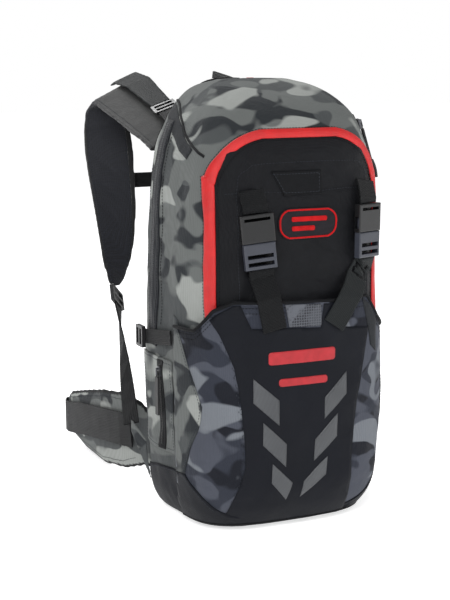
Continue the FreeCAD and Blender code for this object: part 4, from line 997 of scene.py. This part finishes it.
# At each side a camouflage gusset laps over the stash pocket's edge, and a rubberised boot wraps
# the bottom corner over both.
gusset_outline = [
    (106, 252), (116, 248), (138, 215), (157, 180), (166, 155), (161, 130), (153, 112), (143, 90),
    (133, 68), (106, 66),
]
gusset_edge = [(a - 3, b) for a, b in gusset_outline[1:-1]]
boot_outline = [
    (16, 4), (16, 52), (60, 62), (109, 66), (134, 69), (155, 49), (166, 32), (173, 18), (178, 5), (109, 4),
]
boot_edge = [(18, 49), (60, 59), (108, 63), (131, 65), (152, 47), (163, 30)]
for view in ("left", "right"):
    gusset = patch("pocket_gusset_" + view, gusset_outline, view, [bag, pocket], camo, 0.0002, 0.0008)
    edge = traced(gusset_edge, view, [gusset])
    beads("gusset_stitching_" + view, [edge], [gusset], "camo_fabric", thread=thread_grey)
    boot = patch("boot_panel_" + view, boot_outline, view, [bag, pocket, gusset], rubber.material,
                 0.0003, 0.0010, hides=["boot_panels"] if view == "left" else ())
    edge = traced(boot_edge, view, [boot], straight=True)
    beads("boot_stitching_" + view, [edge], [boot], "coated_panel", thread=thread_grey)
fins = cut_from("strap_fins", "side_fins", camo, 0.0012, 2)
rides(fins, "pack", ["side_fins"])

# ---------------------------------------------------------------- back panel and pads
# The back is a stiff panel of black spacer mesh, with four foam pads and a lumbar pad moulded
# proud of it, each covered in the same knitted mesh.


def knitted(name, colour, hole):
    """Knitted spacer mesh: small open cells in staggered rows over dark foam."""
    mesh = Finish(name, Roughness=0.85, Specular_IOR_Level=0.2, Sheen_Weight=0.2, Sheen_Roughness=0.5)
    cell = mesh.add("TexVoronoi", into={"Vector": mesh.place, "Scale": 420.0, "Randomness": 0.1})[1]
    ridge = mesh.stops(cell, [(0.25, (0, 0, 0, 1)), (0.5, (1, 1, 1, 1))])
    body = mesh.over(ridge, hole, colour)
    mesh.coloured(mesh.tinted(body, mesh.sum("SUBTRACT", mesh.cloudy(14.0, 3.0), 0.5), 0.3))
    mesh.raised(mesh.cloudy(60.0, 3.0), 0.0008)
    mesh.raised(ridge, 0.0003)
    return mesh


spacer = knitted("spacer_mesh", dye(24, 25, 29), dye(7, 7, 9))


def filled(made, pressure, limit, seam=None):
    """The cover swells as its foam fills it, no further than the limit; seam points are held."""
    rest = np.array([v.co for v in made.data.vertices])
    if seam is not None:
        held = made.vertex_groups.new(name="seam")
        held.add([int(i) for i in np.nonzero(seam)[0]], 1.0, "REPLACE")
    cloth = made.modifiers.new("fill", "CLOTH")
    cloth.settings.quality = 5
    cloth.settings.mass = 0.3
    cloth.settings.use_pressure = True
    cloth.settings.uniform_pressure_force = pressure
    cloth.settings.effector_weights.gravity = 0.0
    if seam is not None:
        cloth.settings.vertex_group_mass = "seam"
    cloth.point_cache.frame_start = 1
    cloth.point_cache.frame_end = 20
    for step in range(1, 21):
        bpy.context.scene.frame_set(step)
    swollen = made.evaluated_get(bpy.context.evaluated_depsgraph_get()).data
    moved = np.array([v.co for v in swollen.vertices]) - rest
    made.modifiers.clear()
    far = np.linalg.norm(moved, axis=1, keepdims=True)
    rest += moved * np.minimum(1.0, limit / np.maximum(far, 1e-9))
    made.data.vertices.foreach_set("co", rest.ravel())
    made.data.update()
    bpy.context.scene.frame_set(1)
    return made


def finer(made):
    """One level of subdivision, applied."""
    rounder = made.modifiers.new("finer", "SUBSURF")
    rounder.levels = 1
    rounder.render_levels = 1
    return settled(made)


back_foams = (
    ("back_mesh", "back_panel", 0.004, -0.0006, 0.0012),
    ("back_pad_foam", "back_pads", 0.004, -0.001, 0.0025),
    ("lumbar_foam", "lumbar_pad", 0.0045, -0.001, 0.003),
)
for name, node, cell, swell, limit in back_foams:
    foam = cut_from(name, node, spacer.material, cell, 2, swell)
    finer(filled(foam, 4.0, limit))
    rides(foam, "pack", [node])

# ---------------------------------------------------------------- shoulder straps
# Each strap is die-cut foam between black nylon outside and navy spacer mesh inside, its edges
# bound in folded black tape, curving over the shoulder to an end tab.

stations = np.array([
    ((-110, 6, 88), (-48, 6, 70)), ((-112, 40, 77), (-51, 50, 52)), ((-115, 95, 63), (-56, 110, 32)),
    ((-117, 150, 50), (-60, 160, 15)), ((-120, 196, 39), (-64, 186, 9)), ((-122, 222, 50), (-68, 196, 26)),
    ((-122, 231, 76), (-70, 184, 62)), ((-122, 228, 107), (-71, 167, 100)), ((-122, 214, 140), (-71, 163, 138)),
    ((-122, 198, 170), (-71, 159.5, 171)), ((-122, 181, 205), (-72, 160, 208)), ((-122, 164, 239), (-78, 163, 243)),
    ((-119, 151, 266), (-90, 160, 269)), ((-113, 150, 277), (-98, 156, 278)),
], float)
stations = np.stack([stations[..., 0], 84 + stations[..., 1], 520 - stations[..., 2]], -1) / 1000
run = np.arange(len(stations))
fine = np.linspace(0, len(stations) - 1, 200)
outer_edge = np.stack([np.interp(fine, run, stations[:, 0, k]) for k in range(3)], 1)
inner_edge = np.stack([np.interp(fine, run, stations[:, 1, k]) for k in range(3)], 1)


def strap_places(points, side):
    """Share across the strap for each point, 0 at its outer edge and 1 at its inner edge, and its
    side: 1 is outside."""
    p = points * (side, 1, 1)
    middle = (outer_edge + inner_edge) / 2
    nearest = np.array([np.argmin(((middle - q) ** 2).sum(1)) for q in p])
    wide = inner_edge - outer_edge
    along = np.gradient(middle, axis=0)
    share = ((p - outer_edge[nearest]) * wide[nearest]).sum(1) / (wide[nearest] ** 2).sum(1)
    facing = np.cross(wide, along)
    return share, ((p - middle[nearest]) * facing[nearest]).sum(1) > 0, fine[nearest]


def tally(made, name, values):
    made.data.attributes.new(name, "FLOAT", "POINT").data.foreach_set("value", np.asarray(values, np.float32))


strap_skin = Finish("strap_cover", Roughness=0.75, Specular_IOR_Level=0.3, Sheen_Weight=0.2,
                    Sheen_Roughness=0.45)
across = strap_skin.add("Attribute", out=2, attribute_name="across")[1]
outside = strap_skin.add("Attribute", out=2, attribute_name="outside")[1]
holes = strap_skin.add("TexVoronoi", into={"Vector": strap_skin.place, "Scale": 430.0, "Randomness": 0.1})[1]
knit = strap_skin.stops(holes, [(0.25, dye(7, 8, 12)), (0.5, dye(19, 21, 29))])
cover = strap_skin.over(outside, knit, dye(25, 26, 26))
from_edge = strap_skin.sum("ABSOLUTE", strap_skin.sum("SUBTRACT", across, 0.5), 0.0)
bound = strap_skin.stops(from_edge, [(0.385, black), (0.39, white)])
cover = strap_skin.over(bound, cover, dye(14, 15, 17))
weave = strap_skin.threads(0.0011)
cover = strap_skin.tinted(cover, weave, 0.2)
wear = strap_skin.sum("SUBTRACT", strap_skin.cloudy(18.0, 3.0), 0.5)
strap_skin.coloured(strap_skin.tinted(cover, wear, 0.3))
strap_skin.raised(strap_skin.cloudy(50.0, 3.0), 0.001)
strap_skin.raised(strap_skin.sum("MULTIPLY", bound, 1.0), 0.0006)
strap_skin.raised(weave, 0.0002)
for tag, side in (("left", 1), ("right", -1)):
    strap = cut_from("shoulder_strap_foam_" + tag, "shoulder_strap_" + tag, strap_skin.material,
                     0.004, 2, -0.0012)
    share, out, station = strap_places(np.array([v.co for v in strap.data.vertices]), side)
    finer(filled(strap, 4.0, 0.0025, (np.abs(share - 0.5) > 0.42) | (station < 0.5)))
    share, out, station = strap_places(np.array([v.co for v in strap.data.vertices]), side)
    tally(strap, "across", share)
    tally(strap, "outside", out.astype(float))
    rides(strap, "pack", ["shoulder_strap_" + tag])
    lines = []
    facing = np.cross(inner_edge - outer_edge, np.gradient((outer_edge + inner_edge) / 2, axis=0))
    facing /= np.linalg.norm(facing, axis=1, keepdims=True)
    for place in (0.13, 0.87):
        for lift in (0.006, -0.006):
            line = outer_edge + (inner_edge - outer_edge) * place + facing * lift
            lines.append(line[8:-8] * (side, 1, 1))
    beads("strap_stitching_" + tag, lines, [strap], "mesh_foam", thread=thread_grey, lift=0.0002, width=0.0008)

# ---------------------------------------------------------------- webbing
# All straps are polyester webbing, woven in fine cross ribs between two flat selvedges. The
# lifters, the lower straps and the loops are cut from it and melted at their ends.


def ribbed(name, colour, pitch=0.0016):
    """Webbing: cross ribs along its length, from its own map."""
    tape = Finish(name, Roughness=0.6, Specular_IOR_Level=0.15, Sheen_Weight=0.04, Sheen_Roughness=0.4)
    own = tape.add("UVMap", uv_map="weave")[1]
    parts = tape.add("SeparateXYZ", into={0: own})[0]
    ribs = tape.sum("SINE", tape.sum("MULTIPLY", parts.outputs["X"], 2 * math.pi / pitch), 0.0)
    twill = tape.sum("SINE", tape.sum("MULTIPLY", parts.outputs["Y"], 2 * math.pi / 0.0021), 0.0)
    rib = tape.sum("ADD", ribs, tape.sum("MULTIPLY", twill, 0.5))
    shade = tape.tinted(tape.stops(rib, [(0.0, colour), (1.0, colour)]), rib, 0.14)
    tape.coloured(tape.tinted(shade, tape.sum("SUBTRACT", tape.cloudy(30.0, 3.0), 0.5), 0.35))
    tape.raised(rib, 0.00022)
    tape.rough(tape.cloudy(40.0), 0.5, 0.68)
    return tape.material


webbing_black = ribbed("webbing_black", dye(13, 14, 16))
webbing_green = ribbed("webbing_green", dye(27, 30, 31))


def weave_map(made):
    """Maps each strip by its own longest direction, so the ribs run across it."""
    mesh = made.data
    count = len(mesh.vertices)
    co = np.array([v.co for v in mesh.vertices])
    parent = np.arange(count)
    ends = np.array([e.vertices[:] for e in mesh.edges])
    for _ in range(400):
        low = np.minimum(parent[ends[:, 0]], parent[ends[:, 1]])
        before = parent.copy()
        np.minimum.at(parent, ends[:, 0], low)
        np.minimum.at(parent, ends[:, 1], low)
        parent = parent[parent]
        if (before == parent).all():
            break
    uv = np.zeros((count, 2))
    for strip in np.unique(parent):
        own = parent == strip
        centre = co[own].mean(0)
        axes = np.linalg.svd(co[own] - centre, full_matrices=False)[2]
        uv[own] = (co[own] - centre) @ axes[:2].T
    layer = mesh.uv_layers.new(name="weave")
    corners = np.array([loop.vertex_index for loop in mesh.loops])
    layer.data.foreach_set("uv", uv[corners].ravel())


def strip(name, node, material, slot="webbing", body="pack", cell=0.0009, soften=2, hide=True):
    made = cut_from(name, node, material, cell, soften)
    weave_map(made)
    return rides(made, body, [node] if hide else ())


strip("load_lifter_cloth", "load_lifter_flaps", webbing_green, cell=0.0013, soften=4)
strip("lifter_straps", "lifter_webbing", webbing_black)
strip("lower_straps", "lower_webbing", webbing_black)
strip("haul_loop_webbing", "haul_loop", webbing_black, cell=0.0011, soften=4)
strip("sternum_rail_cords", "sternum_rails", webbing_black, cell=0.0009, soften=3)
strip("compression_webbing", "compression_straps", webbing_black)
strip("front_buckle_loops", "front_strap_loops", webbing_black)
tab_red = strip("red_top_tab", "red_tab", red_thread, "red_zip", cell=0.0006, soften=2)
tab_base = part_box("red_tab")[0][2]
tab_sunk = 0.004
tab_share = 0.6
for corner in tab_red.data.vertices:
    corner.co.z = tab_base - tab_sunk + (corner.co.z - tab_base) * tab_share

# ---------------------------------------------------------------- hip belt
# Each wing is foam in camouflage cloth with black bound edges. A broad webbing is sewn along its
# outside and turns round the wing's tip to the buckle.

belt_skin = bpy.data.materials["camo_cloth"].copy()
belt_skin.name = "belt_cover"
tree = belt_skin.node_tree
shader = tree.nodes["Principled BSDF"]
printed = shader.inputs["Base Color"].links[0].from_socket
attribute = tree.nodes.new("ShaderNodeAttribute")
attribute.attribute_name = "bound"
trim = tree.nodes.new("ShaderNodeMix")
trim.data_type = "RGBA"
trim.inputs[7].default_value = dye(14, 15, 17)
tree.links.new(attribute.outputs["Fac"], trim.inputs[0])
tree.links.new(printed, trim.inputs[6])
tree.links.new(trim.outputs[2], shader.inputs["Base Color"])
wing_rows = np.array([
    (12, 36, 112), (26, 31, 120), (60, 20, 125), (125, 10, 115), (200, 12, 98), (262, 19, 82), (284, 30, 70),
], float)


def wing_places(made):
    """For each point: how far back it is, its height, and the wing's lower and upper edges there."""
    co = np.array([v.co for v in made.data.vertices]) * 1000
    reach = co[:, 1] - 84
    low, high = [np.interp(reach, wing_rows[:, 0], wing_rows[:, edge]) for edge in (1, 2)]
    return reach, co[:, 2], low, high


for tag, side in (("left", -1), ("right", 1)):
    wing = cut_from("belt_wing_foam_" + tag, "belt_wing_" + tag, belt_skin, 0.0045, 2, -0.0014)
    reach, level, low, high = wing_places(wing)
    share = (level - low) / (high - low)
    finer(filled(wing, 4.0, 0.003, (np.abs(share - 0.5) > 0.44) | (reach < 22) | (reach > 276)))
    reach, level, low, high = wing_places(wing)
    tally(wing, "bound", ((level - low < 6.5) | (high - level < 6.5) | (reach > 278)).astype(float))
    rides(wing, "belt_" + tag, ["belt_wing_" + tag])
    strip("belt_strap_" + tag, "belt_webbing_" + tag, webbing_black, body="belt_" + tag, cell=0.0011)
    lines = []
    back = np.arange(24, 274, 3)
    for edge, inwards in ((1, 7.5), (2, -7.5)):
        level = np.interp(back, wing_rows[:, 0], wing_rows[:, edge]) + inwards
        lines.append(np.stack([np.full(len(back), side * 0.16), 0.084 + back / 1000, level / 1000], 1))
    beads("belt_stitching_" + tag, lines, [wing], "camo_fabric", "belt_" + tag, thread_grey,
          lift=0.0002, width=0.0008)

# ---------------------------------------------------------------- front straps with their buckles
# Two side-release buckles close straps over the tool compartment: black sockets hang from sewn
# loops, and slate plugs hold the webbing that comes up from the stash pocket.

front_left = strip("front_strap_left", "front_webbing_left", webbing_black)
front_right = strip("front_strap_right", "front_webbing_right", webbing_green)
strip("sternum_strap_left", "sternum_webbing_left", webbing_black, body="sternum")
chest_right = strip("sternum_strap_right", "sternum_webbing_right", webbing_black, body="sternum")
# Each front strap and the right chest strap takes a mesh of its own.
for tag, made in (("left", front_left), ("right", front_right)):
    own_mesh(made)
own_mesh(chest_right)
buckle_black = moulded("buckle_black", dye(10, 11, 13))
buckle_slate = moulded("buckle_slate", dye(48, 51, 60))
dress(buckle_black, "ladder_locks", "compression_buckle", "belt_buckle_socket", "belt_buckle_plug",
      "sternum_sliders", "sternum_socket", "sternum_plug", "front_buckle_socket_left",
      "front_buckle_socket_right")
dress(buckle_slate, "front_buckle_plug_left", "front_buckle_plug_right")

# ---------------------------------------------------------------- trigger on the right strap
# The red moulded handle hangs in a nylon sleeve on the strap. A pull on it runs by wire over the
# shoulder to the valve.

dress(moulded("handle_red", dye(176, 30, 28), 0.0004, 0.35, 0.5), "trigger_handle")
sleeve = cut_from("trigger_sleeve_cloth", "trigger_sleeve", black_nylon, 0.0011, 2)
rides(sleeve, "pack", ["trigger_sleeve"])
